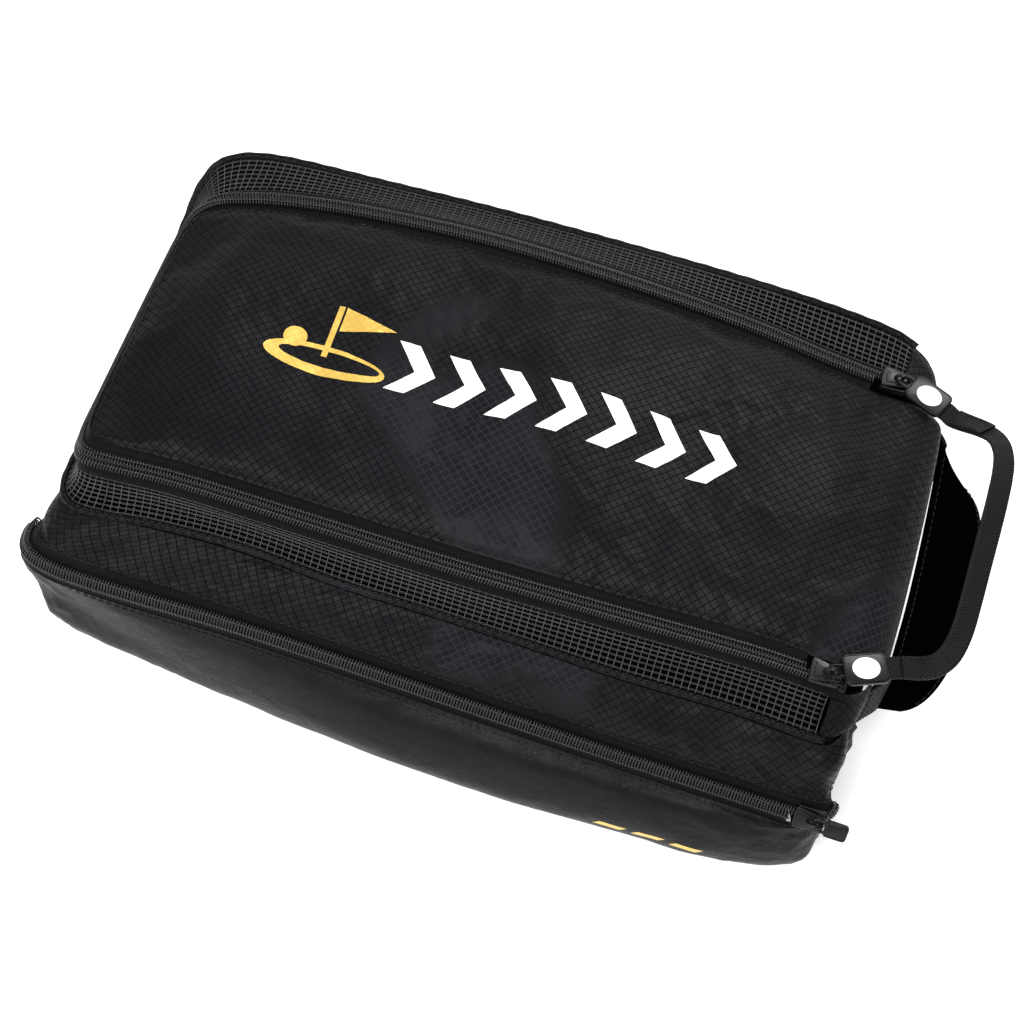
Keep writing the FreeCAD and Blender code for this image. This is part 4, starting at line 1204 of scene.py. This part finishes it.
def decal(name, shapes, onto, material, lift, body, axis=2):
    """Flat shapes laid on a cloth: finely divided, then set on its surface. Shapes are (outline, holes)."""
    spacing = 2.2
    tree = BVHTree.FromPolygons((onto.reshape(-1, 3)).tolist(), grid_faces(*onto.shape[:2]).tolist())
    verts, faces, uvs = [], [], []
    for outline, holes in shapes:
        pts, edges = [], []
        for loop in [outline, *holes]:
            loop = np.asarray(loop, float)
            dense = []
            for a, b in zip(loop, np.roll(loop, -1, 0)):
                n = max(1, int(np.linalg.norm(b - a) / spacing))
                dense += [a + (b - a) * k / n for k in range(n)]
            base = len(pts)
            pts += dense
            edges += [(base + k, base + (k + 1) % len(dense)) for k in range(len(dense))]
        o = np.asarray(outline)
        gx, gy = np.meshgrid(*(np.arange(o[:, k].min(), o[:, k].max(), spacing) for k in (0, 1)))
        keep = in_shape(o, holes, gx, gy)
        pts += [np.array(q) for q in zip(gx[keep], gy[keep])]
        got = delaunay_2d_cdt([Vector(q) for q in pts], edges, [], 0, 1e-5)
        xy = np.array([tuple(q) for q in got[0]])
        tri = np.array([list(f) for f in got[2] if len(f) == 3])
        mid = xy[tri].mean(1)
        base = len(verts)
        way = Vector((0, 0, -1)) if axis == 2 else Vector((0, 1, 0))
        for q in xy:
            origin = Vector((q[0], q[1], 200)) if axis == 2 else Vector((q[0], -200, q[1]))
            spot, normal, _, _ = tree.ray_cast(origin, way)
            if spot is None:
                spot, normal = origin * 0, way
            normal = normal if normal.dot(way) < 0 else -normal
            verts.append(tuple(spot + normal * lift))
        for t in tri[in_shape(o, holes, mid[:, 0], mid[:, 1])]:
            a, b, c = (xy[i] for i in t)
            turn = (b[0] - a[0]) * (c[1] - a[1]) - (b[1] - a[1]) * (c[0] - a[0])
            t = list(t) if turn > 0 else list(t)[::-1]
            faces.append([base + i for i in t])
            uvs += [tuple(xy[i] * MM) for i in t]
    piece(name, np.array(verts), faces, material, np.array(uvs), body)


def ellipse(cx, cy, a, b, n=64):
    t = np.linspace(0, 2 * math.pi, n, endpoint=False)
    return [(cx + a * math.cos(k), cy + b * math.sin(k)) for k in t]


# White marks: a row of seven slanted chevrons, in place of lettering. Gold mark: a flag on a green.
chevrons = []
top, middle, low = 9.5, -3.5, -16.5
for k in range(7):
    x0 = -56 + 22.3 * k
    notch = [(x0 + 9.2, top), (x0, top), (x0 + 10.4, middle)]
    chevrons.append(([(x0, low), (x0 + 9.2, low), (x0 + 19.6, middle), *notch], []))
decal("printed_chevrons", chevrons, flap, WHITE, 0.16, "flap")
green = (ellipse(-84, -11, 27, 8.2), [ellipse(-82, -9.8, 22.5, 4.6)])
pole = ([(-86.2, -8.5), (-83.6, -8.5), (-83.6, 19.5), (-86.2, 19.5)], [])
pennant = ([(-82.6, 19.5), (-82.6, 6.5), (-58.5, 13.0)], [])
ball = (ellipse(-99.5, -2.2, 5.2, 5.2, 40), [])
decal("printed_flag_mark", [green, pole, pennant, ball], flap, GOLD, 0.16, "flap")
bars = [
    ([(82 + 17 * k, 26.0), (94 + 17 * k, 26.0), (97 + 17 * k, 29.5), (85 + 17 * k, 29.5)], [])
    for k in range(3)
]
decal("foil_bars", bars, cols, FOIL, 0.1, "pocket_front", axis=1)

# ---- room
bends = np.linspace(0, math.pi / 2, 24)
profile = [(-6000, 0)] + [
    (4000 + 1500 * math.sin(a), 1500 - 1500 * math.cos(a)) for a in bends
] + [(5500, 7000)]
verts = np.array([(x, y, z) for y, z in profile for x in (-8000, 8000)], float)
faces = [[2 * k, 2 * k + 1, 2 * k + 3, 2 * k + 2] for k in range(len(profile) - 1)]
floor_mat, shader, words = new_material("pale_floor", (0.86, 0.86, 0.86), 0.75)
pale = words.mix(words.noise(words.object_space(), 3, 2), (0.85, 0.85, 0.85, 1), (0.875, 0.875, 0.875, 1))
words.put(shader.inputs["Base Color"], pale)
shader.inputs["Emission Color"].default_value = (1, 1, 1, 1)
shader.inputs["Emission Strength"].default_value = 0.36
floor = piece("floor", verts, faces, floor_mat)

world = bpy.data.worlds.new("studio")
bpy.context.scene.world = world
world.use_nodes = True
world.node_tree.nodes["Background"].inputs[0].default_value = (1, 1, 1, 1)
world.node_tree.nodes["Background"].inputs[1].default_value = 0.2


def area(name, at, aim, size, power, size_y=None):
    light = bpy.data.lights.new(name, "AREA")
    light.energy = power
    light.shape = "RECTANGLE"
    light.size = size
    light.size_y = size_y or size
    obj = bpy.data.objects.new(name, light)
    bpy.context.scene.collection.objects.link(obj)
    obj.location = at
    obj.rotation_euler = (Vector(aim) - Vector(at)).to_track_quat("-Z", "Y").to_euler()
    return obj


area("key_softbox", (0.35, 1.15, 1.45), (0.03, 0, 0.1), 0.75, 24, 0.5)
area("overhead_softbox", (-0.3, -1.5, 2.4), (0, 0, 0.05), 1.5, 100)
area("front_softbox", (-1.1, -1.2, 0.55), (-0.1, -0.1, 0.03), 0.6, 12, 0.4)

camera = bpy.data.cameras.new("camera")
camera.sensor_width = 36
camera.lens = 91.3
camera.clip_start = 0.01
cam = bpy.data.objects.new("camera", camera)
bpy.context.scene.collection.objects.link(cam)
az, el, roll_ = math.radians(5.86), math.radians(58), math.radians(11.66)
right_ = Vector((math.cos(az), math.sin(az), 0))
up_ = Vector((-math.sin(az) * math.sin(el), math.cos(az) * math.sin(el), math.cos(el)))
back_ = Vector((math.sin(az) * math.cos(el), -math.cos(az) * math.cos(el), math.sin(el)))
r2 = right_ * math.cos(roll_) + up_ * math.sin(roll_)
u2 = up_ * math.cos(roll_) - right_ * math.sin(roll_)
target = Vector((0.01238, -0.04839, 0.110))
spot_ = target + back_ * 1.0962
columns = [(*side, 0) for side in (r2, u2, back_)] + [(*spot_, 1)]
cam.matrix_world = Matrix(columns).transposed()
bpy.context.scene.camera = cam
bpy.context.scene.view_settings.view_transform = "Standard"
